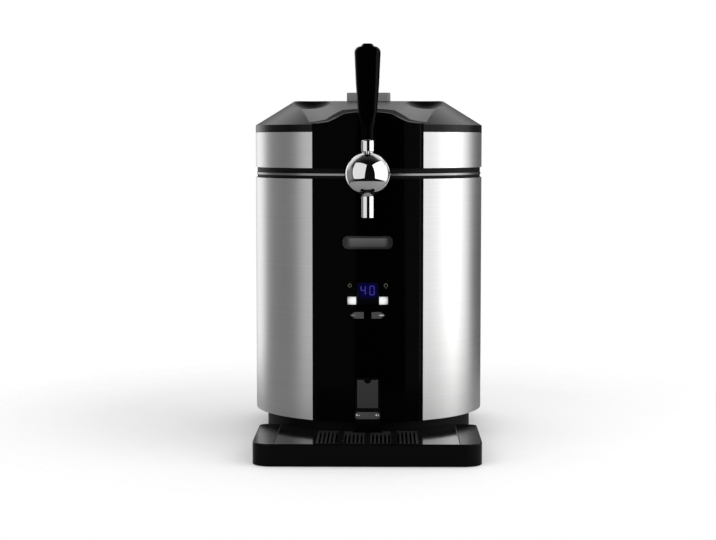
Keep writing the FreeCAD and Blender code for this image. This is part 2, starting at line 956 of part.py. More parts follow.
def tray_corners(ring):
    """Plan of the drip tray: a broad front with two arms round the plinth's circle."""
    turn_x = "(tray_half - tray_corner)"
    turn_y = "(tray_front - tray_corner)"
    arm = depth_at(ring, "tray_rear")
    return [
        ("-tray_half", "-" + turn_y, "-" + turn_x, "-" + turn_y, 1),
        ("-" + turn_x, "-tray_front"),
        (turn_x, "-tray_front", turn_x, "-" + turn_y, 1),
        ("tray_half", "-" + turn_y),
        ("tray_half", "-tray_rear"),
        (arm, "-tray_rear", "0", "0", -1),
        ("-" + arm, "-tray_rear"),
        ("-tray_half", "-tray_rear"),
    ]


def basin_corners(half, inset, ring):
    """Plan of what lies between the tray's side decks, moved in from the tray's front and arms."""
    front = "(tray_front - %s)" % inset
    rear = "(tray_rear + %s)" % inset
    arm = depth_at("(%s + %s)" % (ring, inset), rear)
    return [
        ("-" + half, "-" + front), (half, "-" + front),
        (half, "-" + rear),
        (arm, "-" + rear, "0", "0", -1),
        ("-" + arm, "-" + rear),
        ("-" + half, "-" + rear),
    ]


def wing_corners(sign):
    """Plan of the hollow below one of the tray's side decks."""
    def side(x):
        return x if sign > 0 else "-" + x

    inner = "(plate_half - plate_rest + tray_wall)"
    outer = "(tray_half - tray_wall)"
    front = "-(tray_front - tray_wall)"
    turn_x = "(tray_half - tray_corner)"
    turn_y = "-(tray_front - tray_corner)"
    rear = "-(tray_rear + tray_rear_corner)"
    return [
        (side(inner), front),
        (side(turn_x), front, side(turn_x), turn_y, sign),
        (side(outer), turn_y),
        (side(outer), rear),
        (side(inner), rear),
    ]


# ---------------------------------------------------------------------------------------------------
# Cabinet
# ---------------------------------------------------------------------------------------------------

def make_cabinet_shell():
    """Black moulded tub that carries the steel panels, open above and in front."""
    body = new_body("cabinet_shell", z="panel_bottom")
    height = "panel_top - panel_bottom"
    pad(body, draw_loop(new_sketch(body, "XY_Plane"), housing_corners(SHELL_OUTSIDE)), height)
    inside = new_sketch(body, "XY_Plane", "shell_floor")
    pocket(body, draw_loop(inside, housing_corners(SHELL_INSIDE)), height)
    notch = new_sketch(body, "XY_Plane")
    draw_box(notch, "-" + NOTCH_HALF, NOTCH_HALF, "-body_radius", "-column_back")
    pocket(body, notch, height)
    window = new_sketch(body, "XZ_Plane", "body_rear")
    draw_box(window, "-window_half", "window_half",
             "window_low - panel_bottom", "window_high - panel_bottom")
    pocket(body, window, "shell_wall * 3", -1)
    for height_of_screw in COVER_SCREW_HEIGHTS:
        for side in ("-", ""):
            hole = new_sketch(body, "XZ_Plane", "body_rear")
            draw_circle(hole, side + "cover_screw_x", "(%s) - panel_bottom" % height_of_screw,
                        "cover_screw_radius + screw_fit")
            pocket(body, hole, "shell_wall * 3", -1)


def make_side_panels():
    """Two brushed steel skins, one either side of the column."""
    for label, sign in (("side_panel_right", 1), ("side_panel_left", -1)):
        body = new_body(label, z="panel_bottom")
        sketch = draw_loop(new_sketch(body, "XY_Plane"), panel_corners(sign))
        pad(body, sketch, "panel_top - panel_bottom")


def make_front_column():
    """Glossy black column with the guide for the tray, the key holes and the saddle for the tap."""
    body = new_body("front_column")
    height = "panel_top - panel_bottom"
    pad(body, draw_loop(new_sketch(body, "XY_Plane", "panel_bottom"), column_face_corners()), height)
    fillet(body, "face_round", raised_edge)
    for sign in (1, -1):
        wall = new_sketch(body, "XY_Plane", "panel_bottom")
        pad(body, draw_loop(wall, column_return_corners(sign)), height)
    rib = new_sketch(body, "XY_Plane", "panel_bottom")
    draw_box(rib, "-(guide_half + guide_rib)", "guide_half + guide_rib",
             "-(guide_back - bite)", "-(guide_back - guide_rib)")
    pad(body, rib, "guide_top + guide_rib - panel_bottom")
    guide = new_sketch(body, "XY_Plane", "panel_bottom")
    draw_box(guide, "-guide_half", "guide_half", "-(body_radius + guide_rib)", "-guide_back")
    pocket(body, guide, "guide_top - panel_bottom")
    for x in ("-boss_spread", "boss_spread"):
        for level in ("board_low + boss_radius", "board_high - boss_radius"):
            boss = new_sketch(body, "XZ_Plane", "-board_front")
            draw_circle(boss, x, level, "boss_radius")
            pad(body, boss, COLUMN_INSIDE + " - board_front - bite", -1)
    openings = [key_corners(side, "key_gap") for side in (1, -1)]
    openings += [arrow_corners(side, "key_gap") for side in (1, -1)]
    openings.append(lens_corners("key_gap"))
    for corners in openings:
        opening = draw_loop(new_sketch(body, "XZ_Plane", "-" + FACE_RADIUS), corners)
        pocket(body, opening, "2 * column_wall + face_rise")
    saddle = new_sketch(body, "XZ_Plane", "-" + FACE_RADIUS)
    draw_circle(saddle, "0", "tap_height", "shank_radius + shank_room")
    pocket(body, saddle, "2 * column_wall + face_rise")


def raised_edge(middle, along, edge):
    """True for the two upright edges of the column's raised face."""
    return (upright(middle, along, edge) and abs(abs(middle.x) - value("face_half")) < 0.01)


def make_plinth():
    """Black tub under the cabinet, set back from the panels."""
    body = new_body("plinth", z="plinth_bottom")
    height = "panel_bottom - plinth_bottom"
    pad(body, draw_loop(new_sketch(body, "XY_Plane"), housing_corners("plinth_inset")), height)
    inside = new_sketch(body, "XY_Plane", "plinth_wall")
    pocket(body, draw_loop(inside, housing_corners("(plinth_inset + plinth_wall)")), height)


def make_feet():
    """Four rubber feet under the plinth."""
    feet = []
    for x in ("-foot_x", "foot_x"):
        for y in ("-foot_front", "foot_rear"):
            foot = document.addObject("Part::Cone", "Foot")
            bind(foot, Radius1="foot_radius", Radius2="foot_top_radius", Height="plinth_bottom")
            place(foot, x, y)
            feet.append(foot)
    keep(group(feet), "rubber_feet")


def make_top_deck():
    """Deck that closes the cabinet round the keg chamber."""
    body = new_body("top_deck")
    plug = new_sketch(body, "XY_Plane", "deck_bottom")
    pad(body, draw_loop(plug, housing_corners(PLUG_INSET)), "panel_top - deck_bottom")
    plate = new_sketch(body, "XY_Plane", "panel_top")
    pad(body, draw_loop(plate, housing_corners("seam_inset")), "deck_top - panel_top")
    hollow = new_sketch(body, "XY_Plane", "deck_bottom")
    draw_loop(hollow, housing_corners("(%s + shell_wall)" % PLUG_INSET))
    draw_circle(hollow, "0", "0", "chamber_radius + chamber_wall + chamber_flange + seat_gap")
    pocket(body, hollow, "panel_top - deck_bottom")
    for side in ("-", ""):
        inner = "column_half - column_wall - seat_gap"
        low, high = ("-" + NOTCH_HALF, "-(%s)" % inner) if side == "-" else (inner, NOTCH_HALF)
        wall_way = new_sketch(body, "XY_Plane", "deck_bottom")
        pocket(body, draw_box(wall_way, low, high, "-body_radius", "-column_back"),
               "panel_top - deck_bottom")
    mouth = draw_circle(new_sketch(body, "XY_Plane", "deck_bottom"), "0", "0", "chamber_radius")
    pocket(body, mouth, "deck_top")
    channel = new_sketch(body, "XY_Plane", "deck_bottom")
    draw_box(channel, "-channel_half", "channel_half", "-channel_front", "0")
    pocket(body, channel, "deck_top")
    for sign in (1, -1):
        slot = new_sketch(body, "XY_Plane", "deck_bottom")
        draw_loop(slot, hook_slot_corners(sign, "hook_slot_gap + hook_lip"))
        pocket(body, slot, "deck_top")
    saddle = new_sketch(body, "XZ_Plane", "-body_radius")
    draw_circle(saddle, "0", "tap_height", "shank_radius + shank_room / 4")
    pocket(body, saddle, "body_radius - chamber_radius")


def hook_slot_corners(sign, front_room):
    """Plan of the slot that one hook of the latch reaches through."""
    def side(x):
        return x if sign > 0 else "-" + x

    inner = "(hook_inner - hook_slot_gap)"
    outer = "(hook_outer + hook_slot_gap)"
    front = "-(bar_front + hook_lip + %s)" % front_room
    return [(side(inner), front), (side(outer), front),
            (side(outer), "-hook_slot_rear"), (side(inner), "-hook_slot_rear")]


def make_trims():
    """Two bright strips in the seam, on the deck's edge, from the tap shank round to the hinge."""
    height = "trim_top - deck_top"
    for label, sign in (("trim_right", 1), ("trim_left", -1)):
        body = new_body(label, z="deck_top")
        pad(body, draw_loop(new_sketch(body, "XY_Plane"), housing_corners("trim_inset")), height)
        inside = new_sketch(body, "XY_Plane")
        pocket(body, draw_loop(inside, housing_corners("(trim_inset + trim_width)")), height)
        shank_side = "-" if sign > 0 else ""
        front_x = shank_side + "(-1) * (shank_radius + shank_room)"
        rear_x = shank_side + "(-1) * (ear_outer + ear_gap)"
        far = shank_side + "body_radius"
        rest = new_sketch(body, "XY_Plane")
        draw_loop(rest, [(front_x, "-body_radius"), (front_x, "0"), (rear_x, "0"),
                         (rear_x, "body_rear"), (far, "body_rear"), (far, "-body_radius")])
        pocket(body, rest, height)


def make_lid_gasket():
    """Rubber ring on the deck round the mouth of the chamber, open where the beer line leaves."""
    body = new_body("lid_gasket", z="deck_top")
    sketch = draw_circle(new_sketch(body, "XY_Plane"), "0", "0", "gasket_radius + gasket_width")
    pad(body, draw_circle(sketch, "0", "0", "gasket_radius"), "gasket_height")
    gap = new_sketch(body, "XY_Plane")
    draw_box(gap, "-gasket_gap_half", "gasket_gap_half", "-body_radius", "0")
    pocket(body, gap, "gasket_height")


def make_keg_chamber():
    """Spun aluminium pot that holds the keg."""
    body = new_body("keg_chamber")
    outer = "(chamber_radius + chamber_wall)"
    floor = "(chamber_floor - chamber_wall)"
    flange = "(deck_bottom - chamber_wall)"
    profile = new_sketch(body, "XZ_Plane")
    draw_loop(profile, [
        ("0", floor), (outer, floor), (outer, flange), (outer + " + chamber_flange", flange),
        (outer + " + chamber_flange", "deck_bottom"), ("chamber_radius", "deck_bottom"),
        ("chamber_radius", "chamber_floor"), ("0", "chamber_floor")])
    revolve(body, profile)


def make_body_foam():
    """Foam between the chamber and the cabinet shell."""
    body = new_body("body_foam")
    radius = "(body_radius - %s)" % PLUG_INSET
    notch_x = "(%s + seat_gap)" % NOTCH_HALF
    notch_y = "(column_back - seat_gap)"
    base = FLOOR_TOP + " + seat_gap"
    outline = new_sketch(body, "XY_Plane", base)
    draw_loop(outline, [
        ("-" + radius, "0", "0", "0", 1),
        ("-" + notch_x, "-" + depth_at(radius, notch_x)),
        ("-" + notch_x, "-" + notch_y),
        (notch_x, "-" + notch_y),
        (notch_x, "-" + depth_at(radius, notch_x), "0", "0", 1),
        (radius, "0"),
        (radius, "foam_rear"),
        ("-" + radius, "foam_rear"),
    ])
    pad(body, outline, "%s - (%s)" % (FOAM_TOP, base))
    hole = new_sketch(body, "XY_Plane", "chamber_floor - chamber_wall - seat_gap")
    draw_circle(hole, "0", "0", "chamber_radius + chamber_wall + seat_gap")
    pocket(body, hole, "deck_top")
    window = new_sketch(body, "XZ_Plane", "chamber_radius / 2")
    draw_box(window, "-(block_half + seat_gap)", "block_half + seat_gap",
             "block_low - seat_gap", "block_high + seat_gap")
    pocket(body, window, "foam_rear")


# ---------------------------------------------------------------------------------------------------
# Cooling
# ---------------------------------------------------------------------------------------------------

def make_cold_block():
    """Aluminium block between the chamber's wall and the cooling module."""
    body = new_body("cold_block", z="block_low")
    hollow = "(chamber_radius + chamber_wall + block_fit)"
    sketch = new_sketch(body, "XY_Plane")
    draw_loop(sketch, [
        ("-block_half", depth_at(hollow, "block_half"), "0", "0", -1),
        ("block_half", depth_at(hollow, "block_half")),
        ("block_half", "block_rear"), ("-block_half", "block_rear")])
    pad(body, sketch, "block_high - block_low")


def make_cooling_module():
    """Flat thermoelectric module, clamped between the cold block and the heat sink."""
    middle = "(block_low + block_high) / 2"
    keep(box("-module_half", "module_half", "block_rear", SINK_FRONT,
             middle + " - module_half", middle + " + module_half"), "cooling_module")


def make_heat_sink():
    """Extruded aluminium heat sink with upright fins."""
    body = new_body("heat_sink", z="sink_low")
    base = new_sketch(body, "XY_Plane")
    draw_box(base, "-sink_half", "sink_half", SINK_FRONT, SINK_FRONT + " + sink_base")
    pad(body, base, "sink_high - sink_low")
    fin = new_sketch(body, "XY_Plane")
    draw_box(fin, "-sink_half", "fin_thickness - sink_half", SINK_FRONT + " + sink_base",
             SINK_FRONT + " + sink_base + fin_length")
    first = pad(body, fin, "sink_high - sink_low")
    repeat_along(body, [first], "X_Axis", "(2 * sink_half - fin_thickness) / (fin_count - 1)",
                 "fin_count")


def make_fan_frame():
    """Square fan housing with a hub on four struts."""
    body = new_body("fan_frame", z="fan_height")
    front = BULGE_INSIDE + " - fan_thickness"
    outer = new_sketch(body, "XZ_Plane", front)
    pad(body, draw_box(outer, "-fan_half", "fan_half", "-fan_half", "fan_half"), "fan_thickness")
    fillet(body, "fan_corner", lambda middle, along, edge: abs(along.y) > 0.999)
    bore = draw_circle(new_sketch(body, "XZ_Plane", front), "0", "0", "fan_bore")
    pocket(body, bore, "fan_thickness")
    strut = new_sketch(body, "XZ_Plane", BULGE_INSIDE)
    draw_box(strut, "-(fan_bore + bite)", "fan_bore + bite", "-fan_strut_half", "fan_strut_half")
    pad(body, strut, "fan_strut_depth", -1)
    crossing = new_sketch(body, "XZ_Plane", BULGE_INSIDE)
    draw_box(crossing, "-fan_strut_half", "fan_strut_half", "-(fan_bore + bite)",
             "fan_bore + bite")
    pad(body, crossing, "fan_strut_depth", -1)
    hub = draw_circle(new_sketch(body, "XZ_Plane", BULGE_INSIDE), "0", "0", "fan_hub")
    pad(body, hub, "fan_strut_depth", -1)
    bearing = new_sketch(body, "XZ_Plane", BULGE_INSIDE)
    pocket(body, draw_circle(bearing, "0", "0", "shaft_radius + shaft_running"),
           "fan_thickness", -1)
    for x in ("-fan_hole_spread", "fan_hole_spread"):
        for z in ("-fan_hole_spread", "fan_hole_spread"):
            hole = draw_circle(new_sketch(body, "XZ_Plane", front), x, z, "fan_hole_radius")
            pocket(body, hole, "fan_thickness")


def blade_corners(turn, radius):
    """Section of a fan blade at a radius: a slanted strip, seen from the hub outwards."""
    chord = "blade_depth / 2"
    thick = "blade_thickness / 2"
    middle = "(%s - fan_strut_depth - blade_gap - %s)" % (BULGE_INSIDE, chord)
    corners = []
    for along, across in (("-", "-"), ("", "-"), ("", ""), ("-", "")):
        lean = "(%s - blade_root_turn)" % turn
        y = "%s + (%s%s) * cos(%s) - (%s%s) * sin(%s)" % (
            middle, along, chord, lean, across, thick, lean)
        z = "(%s%s) * sin(%s) + (%s%s) * cos(%s)" % (
            along, chord, turn, across, thick, turn)
        corners.append((y, z))
    return corners


def make_fan_rotor():
    """Fan rotor: a hub with twisted blades on a thin shaft that runs in the frame's hub."""
    body = new_body("fan_rotor", z="fan_height")
    back = "(%s - fan_strut_depth - hub_gap)" % BULGE_INSIDE
    hub = draw_circle(new_sketch(body, "XZ_Plane", back), "0", "0", "fan_hub")
    pad(body, hub, "blade_depth + hub_gap", -1)
    shaft = draw_circle(new_sketch(body, "XZ_Plane", back), "0", "0", "shaft_radius")
    pad(body, shaft, "fan_strut_depth")
    root = new_sketch(body, "YZ_Plane", "fan_hub - blade_gap")
    draw_loop(root, blade_corners("blade_root_turn", "fan_hub"))
    tip = new_sketch(body, "YZ_Plane", "blade_tip")
    draw_loop(tip, blade_corners("blade_tip_turn", "blade_tip"))
    blade = loft(body, [root, tip])
    repeat_round(body, [blade], "Y_Axis", "blade_count")


# ---------------------------------------------------------------------------------------------------
# Rear cover, mains inlet and switch
# ---------------------------------------------------------------------------------------------------

def make_rear_cover():
    """Moulded back with a raised, louvred housing for the fan."""
    body = new_body("rear_cover")
    plate = new_sketch(body, "XZ_Plane", SHELL_BACK)
    draw_box(plate, "-cover_half", "cover_half", "cover_low", "cover_high")
    pad(body, plate, "cover_wall")
    bulge = new_sketch(body, "XZ_Plane", SHELL_BACK)
    draw_box(bulge, "-bulge_half", "bulge_half", "bulge_low", "bulge_high")
    pad(body, bulge, "bulge_rear - (%s)" % SHELL_BACK)
    fillet(body, "2 * cover_wall",
           lambda middle, along, edge: abs(along.y) > 0.999
           and abs(middle.x) < value("bulge_half + bite"))
    chamfer(body, "cover_wall / 2",
            lambda middle, along, edge: abs(middle.y - value("bulge_rear")) < 0.01)
    inside = new_sketch(body, "XZ_Plane", SHELL_BACK)
    draw_box(inside, "-(bulge_half - cover_wall)", "bulge_half - cover_wall",
             "bulge_low + cover_wall", "bulge_high - cover_wall")
    pocket(body, inside, "%s - (%s)" % (BULGE_INSIDE, SHELL_BACK))
    vent = new_sketch(body, "XZ_Plane", BULGE_INSIDE + " - bite")
    draw_box(vent, "-vent_half", "vent_half", "vent_low", "vent_low + vent_height")
    first = pocket(body, vent, "2 * cover_wall")
    repeat_along(body, [first], "Z_Axis", "vent_pitch", "vent_count")
    inlet = new_sketch(body, "XZ_Plane", SHELL_BACK)
    draw_box(inlet, "-(inlet_x + inlet_half + seat_gap)", "-(inlet_x - inlet_half - seat_gap)",
             "inlet_height - inlet_half_height - seat_gap",
             "inlet_height + inlet_half_height + seat_gap")
    pocket(body, inlet, "2 * cover_wall")
    switch = new_sketch(body, "XZ_Plane", SHELL_BACK)
    draw_box(switch, "switch_x - %s - seat_gap" % SWITCH_HALF,
             "switch_x + %s + seat_gap" % SWITCH_HALF,
             "switch_height - %s - seat_gap" % SWITCH_HALF_HEIGHT,
             "switch_height + %s + seat_gap" % SWITCH_HALF_HEIGHT)
    pocket(body, switch, "2 * cover_wall")
    for level in COVER_SCREW_HEIGHTS:
        for x in ("-cover_screw_x", "cover_screw_x"):
            hole = new_sketch(body, "XZ_Plane", SHELL_BACK)
            draw_circle(hole, x, level, "cover_screw_radius + screw_fit")
            pocket(body, hole, "2 * cover_wall")
    for x in ("-fan_hole_spread", "fan_hole_spread"):
        for z in ("fan_height - fan_hole_spread", "fan_height + fan_hole_spread"):
            hole = new_sketch(body, "XZ_Plane", BULGE_INSIDE + " - bite")
            draw_circle(hole, x, z, "cover_screw_radius + screw_fit")
            pocket(body, hole, "2 * cover_wall")


def screw(x, head_front, z, length):
    """A pan head screw that is driven from behind, along -Y."""
    head = cylinder("screw_head_radius", "screw_head_height", x, head_front, z, "y")
    shank = cylinder("cover_screw_radius", length, x, "(%s) - (%s)" % (head_front, length), z, "y")
    return fuse([head, shank])


def make_rear_screws():
    """Screws of the rear cover, and the screws that hold the fan to it."""
    cover_back = "(%s + cover_wall)" % SHELL_BACK
    screws = []
    for x in ("-cover_screw_x", "cover_screw_x"):
        for level in COVER_SCREW_HEIGHTS:
            screws.append(screw(x, cover_back, level, "cover_wall + shell_wall + cover_screw_hold"))
    keep(group(screws), "rear_cover_screws")
    screws = []
    for x in ("-fan_hole_spread", "fan_hole_spread"):
        for z in ("fan_height - fan_hole_spread", "fan_height + fan_hole_spread"):
            screws.append(screw(x, "bulge_rear", z, "cover_wall + fan_screw_hold"))
    keep(group(screws), "fan_screws")


def make_power_inlet():
    """Mains inlet with three flat pins in a deep socket."""
    body = new_body("power_inlet", x="-inlet_x", z="inlet_height")
    face = "(%s + cover_wall)" % SHELL_BACK
    flange = new_sketch(body, "XZ_Plane", face)
    draw_box(flange, "-(inlet_half + inlet_flange)", "inlet_half + inlet_flange",
             "-(inlet_half_height + inlet_flange)", "inlet_half_height + inlet_flange")
    pad(body, flange, "inlet_flange_thickness")
    fillet(body, "inlet_flange", lambda middle, along, edge: abs(along.y) > 0.999)
    core = new_sketch(body, "XZ_Plane", face)
    draw_box(core, "-inlet_half", "inlet_half", "-inlet_half_height", "inlet_half_height")
    pad(body, core, "inlet_depth", -1)
    recess = new_sketch(body, "XZ_Plane", face + " + inlet_flange_thickness")
    shoulder = "(inlet_recess_half - inlet_recess_bevel)"
    shoulder_height = "(inlet_recess_half_height - inlet_recess_bevel)"
    draw_loop(recess, [
        ("-inlet_recess_half", "-inlet_recess_half_height"),
        ("inlet_recess_half", "-inlet_recess_half_height"),
        ("inlet_recess_half", shoulder_height),
        (shoulder, "inlet_recess_half_height"),
        ("-" + shoulder, "inlet_recess_half_height"),
        ("-inlet_recess_half", shoulder_height)])
    pocket(body, recess, "inlet_recess_depth", -1)
    root = "%s + inlet_flange_thickness - inlet_recess_depth - bite" % face
    for x, z in (("-inlet_pin_spread", "-inlet_pin_drop"), ("0", "inlet_pin_drop"),
                 ("inlet_pin_spread", "-inlet_pin_drop")):
        pin = new_sketch(body, "XZ_Plane", root)
        draw_box(pin, "(%s) - inlet_pin_thickness / 2" % x, "(%s) + inlet_pin_thickness / 2" % x,
                 "(%s) - inlet_pin_half" % z, "(%s) + inlet_pin_half" % z)
        pad(body, pin, "inlet_pin_length + bite")


def make_power_switch():
    """Rocker switch: a frame in the cover and a rocker that tips about a pin."""
    face = "(%s + cover_wall)" % SHELL_BACK
    frame = new_body("switch_frame", x="switch_x", z="switch_height")
    flange = new_sketch(frame, "XZ_Plane", face)
    draw_box(flange, "-(%s + switch_flange)" % SWITCH_HALF, SWITCH_HALF + " + switch_flange",
             "-(%s + switch_flange)" % SWITCH_HALF_HEIGHT, SWITCH_HALF_HEIGHT + " + switch_flange")
    pad(frame, flange, "switch_flange_thickness")
    fillet(frame, "switch_flange", lambda middle, along, edge: abs(along.y) > 0.999)
    core = new_sketch(frame, "XZ_Plane", face)
    draw_box(core, "-" + SWITCH_HALF, SWITCH_HALF, "-" + SWITCH_HALF_HEIGHT, SWITCH_HALF_HEIGHT)
    pad(frame, core, "switch_depth", -1)
    well = new_sketch(frame, "XZ_Plane", face + " + switch_flange_thickness")
    draw_box(well, "-(rocker_half + rocker_room)", "rocker_half + rocker_room",
             "-(rocker_half_height + rocker_room)", "rocker_half_height + rocker_room")
    pocket(frame, well, "switch_depth", -1)
    for side in ("-", ""):
        stub = new_sketch(frame, "YZ_Plane", side + "(rocker_half + rocker_room + bite)")
        draw_circle(stub, "rocker_axis", "0", "rocker_pin_radius")
        pad(frame, stub, "rocker_pin_length", 1 if side == "-" else -1)
    rocker = new_body("power_rocker", x="switch_x", z="switch_height")
    outline = new_sketch(rocker, "YZ_Plane")
    top = "(%s + switch_flange_thickness)" % face
    tilt = "tan(2 * rocker_tilt)"
    draw_loop(outline, [
        ("rocker_axis - rocker_back", "-rocker_half_height / 2"),
        (top + " - rocker_dip", "-rocker_half_height"),
        (top + " + rocker_ridge", "0"),
        (top + " + rocker_crest * %s" % tilt, "rocker_crest"),
        ("rocker_axis - rocker_back", "rocker_half_height / 2"),
    ])
    pad_both(rocker, outline, "2 * rocker_half")
    bore = draw_circle(new_sketch(rocker, "YZ_Plane"), "rocker_axis", "0",
                       "rocker_pin_radius + pin_running")
    pocket_both(rocker, bore, "4 * rocker_half")


def make_power_board():
    """Supply board on the cabinet floor, with its coil and two cans."""
    middle = "(supply_front + supply_rear) / 2"
    pieces = [box("-supply_half", "supply_half", "supply_front", "supply_rear",
                  "supply_height", "supply_height + board_thickness")]
    for x in ("-(supply_half - supply_post_inset)", "supply_half - supply_post_inset"):
        for y in ("supply_front + supply_post_inset", "supply_rear - supply_post_inset"):
            pieces.append(cylinder("boss_radius", "supply_height - %s + bite" % FLOOR_TOP,
                                   x, y, FLOOR_TOP))
    pieces.append(box("-coil_half", "coil_half", middle + " - coil_half", middle + " + coil_half",
                      "supply_height + bite", "coil_high"))
    for x in ("-(coil_half + 2 * can_radius)", "coil_half + 2 * can_radius"):
        pieces.append(cylinder("can_radius", "can_high - supply_height - bite", x, middle,
                               "supply_height + bite"))
    keep(fuse(pieces), "power_board")


# ---------------------------------------------------------------------------------------------------
# Controls on the column
# ---------------------------------------------------------------------------------------------------

def key_corners(sign, room):
    """Front view of a square key beside the display."""
    def side(x):
        return x if sign > 0 else "-" + x

    inner = "(key_x - key_half - %s)" % room
    outer = "(key_x + key_half + %s)" % room
    low = "(key_low - %s)" % room
    high = "(key_high + %s)" % room
    return [(side(inner), low), (side(outer), low), (side(outer), high), (side(inner), high)]


def arrow_corners(sign, room):
    """Front view of an arrow key that points away from the middle."""
    def side(x):
        return x if sign > 0 else "-" + x

    inner = "(arrow_inner - %s)" % room
    shoulder = "(arrow_shoulder + %s / 2)" % room
    tip = "(arrow_tip + %s)" % room
    low = "(arrow_low - %s)" % room
    high = "(arrow_high + %s)" % room
    return [(side(inner), low), (side(shoulder), low), (side(tip), "(arrow_low + arrow_high) / 2"),
            (side(shoulder), high), (side(inner), high)]


def lens_corners(room):
    """Front view of the display's window."""
    left = "-(lens_half + %s)" % room
    right = "(lens_half + %s)" % room
    low = "(lens_low - %s)" % room
    high = "(lens_high + %s)" % room
    return [(left, low), (right, low), (right, high), (left, high)]


def key_middle(corners):
    """The middle of a key, as formulas."""
    x = "((%s) + (%s)) / 2" % (corners[0][0], corners[1][0])
    z = "((%s) + (%s)) / 2" % (corners[0][1], corners[-1][1])
    return x, z


KEYS = (
    ("power_key", key_corners, -1),
    ("light_key", key_corners, 1),
    ("cooler_key", arrow_corners, -1),
    ("warmer_key", arrow_corners, 1),
)


def make_keys():
    """Four push keys: a head in the column, a flange behind it and a stem on its switch."""
    for label, corners, sign in KEYS:
        body = new_body(label)
        head = draw_loop(new_sketch(body, "XZ_Plane", "-key_front"), corners(sign, "0"))
        pad(body, head, "key_front - key_flange_back")
        bend_front(body, "(%s + key_proud)" % FACE_RADIUS, "(key_x + key_half)", "arrow_low",
                   "key_high")
        flange = new_sketch(body, "XZ_Plane", "-key_flange_front")
        draw_loop(flange, corners(sign, "key_flange"))
        pad(body, flange, "key_flange_front - key_flange_back")
        x, z = key_middle(corners(sign, "0"))
        stem = new_sketch(body, "XZ_Plane", "-key_flange_back")
        draw_circle(stem, x, z, "key_stem")
        pad(body, stem, "key_flange_back - key_stem_end")


def make_control_board():
    """Board behind the column with a switch for each key and the display's housing."""
    body = new_body("control_board")
    board = new_sketch(body, "XZ_Plane", "-board_front")
    draw_box(board, "-board_half", "board_half", "board_low", "board_high")
    pad(body, board, "board_thickness")
    for label, corners, sign in KEYS:
        x, z = key_middle(corners(sign, "0"))
        button = new_sketch(body, "XZ_Plane", "-(board_front - board_thickness / 2)")
        draw_box(button, "(%s) - switch_half" % x, "(%s) + switch_half" % x,
                 "(%s) - switch_half" % z, "(%s) + switch_half" % z)
        pad(body, button, "switch_front - board_front + board_thickness / 2", -1)
    display = new_sketch(body, "XZ_Plane", "-(board_front - board_thickness / 2)")
    draw_box(display, "-display_half", "display_half", "lens_low + display_margin",
             "lens_high - display_margin")
    pad(body, display, "display_front - board_front + board_thickness / 2", -1)


def make_display_lens():
    """Dark window in front of the display."""
    body = new_body("display_lens")
    sketch = draw_loop(new_sketch(body, "XZ_Plane", "-lens_front"), lens_corners("0"))
    pad(body, sketch, "lens_front - lens_back")
    bend_front(body, "(%s - lens_sink)" % FACE_RADIUS, "lens_half", "lens_low", "lens_high")


def round_corners(half, low, high, turn):
    """Front view of a rectangle with round corners."""
    side = "(%s - %s)" % (half, turn)
    bottom = "(%s + %s)" % (low, turn)
    top = "(%s - %s)" % (high, turn)
    return [
        ("-" + half, bottom, "-" + side, bottom, 1), ("-" + side, low),
        (side, low, side, bottom, 1), (half, bottom),
        (half, top, side, top, 1), (side, high),
        ("-" + side, high, "-" + side, top, 1), ("-" + half, top),
    ]


def bend_front(body, radius, half, low, high):
    """Cut away whatever stands out in front of a circle about the housing's axis."""
    edge = "(%s + 2 * bite)" % half
    front = "-(%s + column_wall)" % radius
    outside = new_sketch(body, "XY_Plane", low + " - bite")
    draw_loop(outside, [
        ("-" + edge, front), (edge, front),
        (edge, "-" + depth_at(radius, edge), "0", "0", -1),
        ("-" + edge, "-" + depth_at(radius, edge))])
    pocket(body, outside, "%s - %s + 2 * bite" % (high, low))


def make_badge_plate():
    """Bare plate with round ends on the column, bent to its face, with a raised rim."""
    body = new_body("badge_plate")
    back = depth_at(FACE_RADIUS, "badge_half")
    outer = "(%s + badge_thickness)" % FACE_RADIUS
    depth = "%s + 2 * bite - %s" % (outer, back)
    outline = round_corners("badge_half", "badge_low", "badge_high", "badge_corner")
    field = round_corners("(badge_half - badge_rim)", "(badge_low + badge_rim)",
                          "(badge_high - badge_rim)", "(badge_corner - badge_rim)")
    plate = draw_loop(new_sketch(body, "XZ_Plane", "-" + back), outline)
    pad(body, plate, depth, -1)
    bend_front(body, "(%s - badge_sink)" % outer, "badge_half", "badge_low", "badge_high")
    rim = draw_loop(new_sketch(body, "XZ_Plane", "-" + back), outline)
    pad(body, draw_loop(rim, field), depth, -1)
    bend_front(body, outer, "badge_half", "badge_low", "badge_high")
    hollow = new_sketch(body, "XY_Plane", "badge_low - bite")
    draw_circle(hollow, "0", "0", FACE_RADIUS + " + badge_gap")
    pocket(body, hollow, "badge_high - badge_low + 2 * bite")


# ---------------------------------------------------------------------------------------------------
# Lid
# ---------------------------------------------------------------------------------------------------

def make_lid_shell():
    """Black lid moulding: skirt, rim and sloping crown with a ramp that rises from the column."""
    outside = make_lid_outside()
    inside = make_lid_inside()
    keep(cut(outside, inside), "lid_shell")


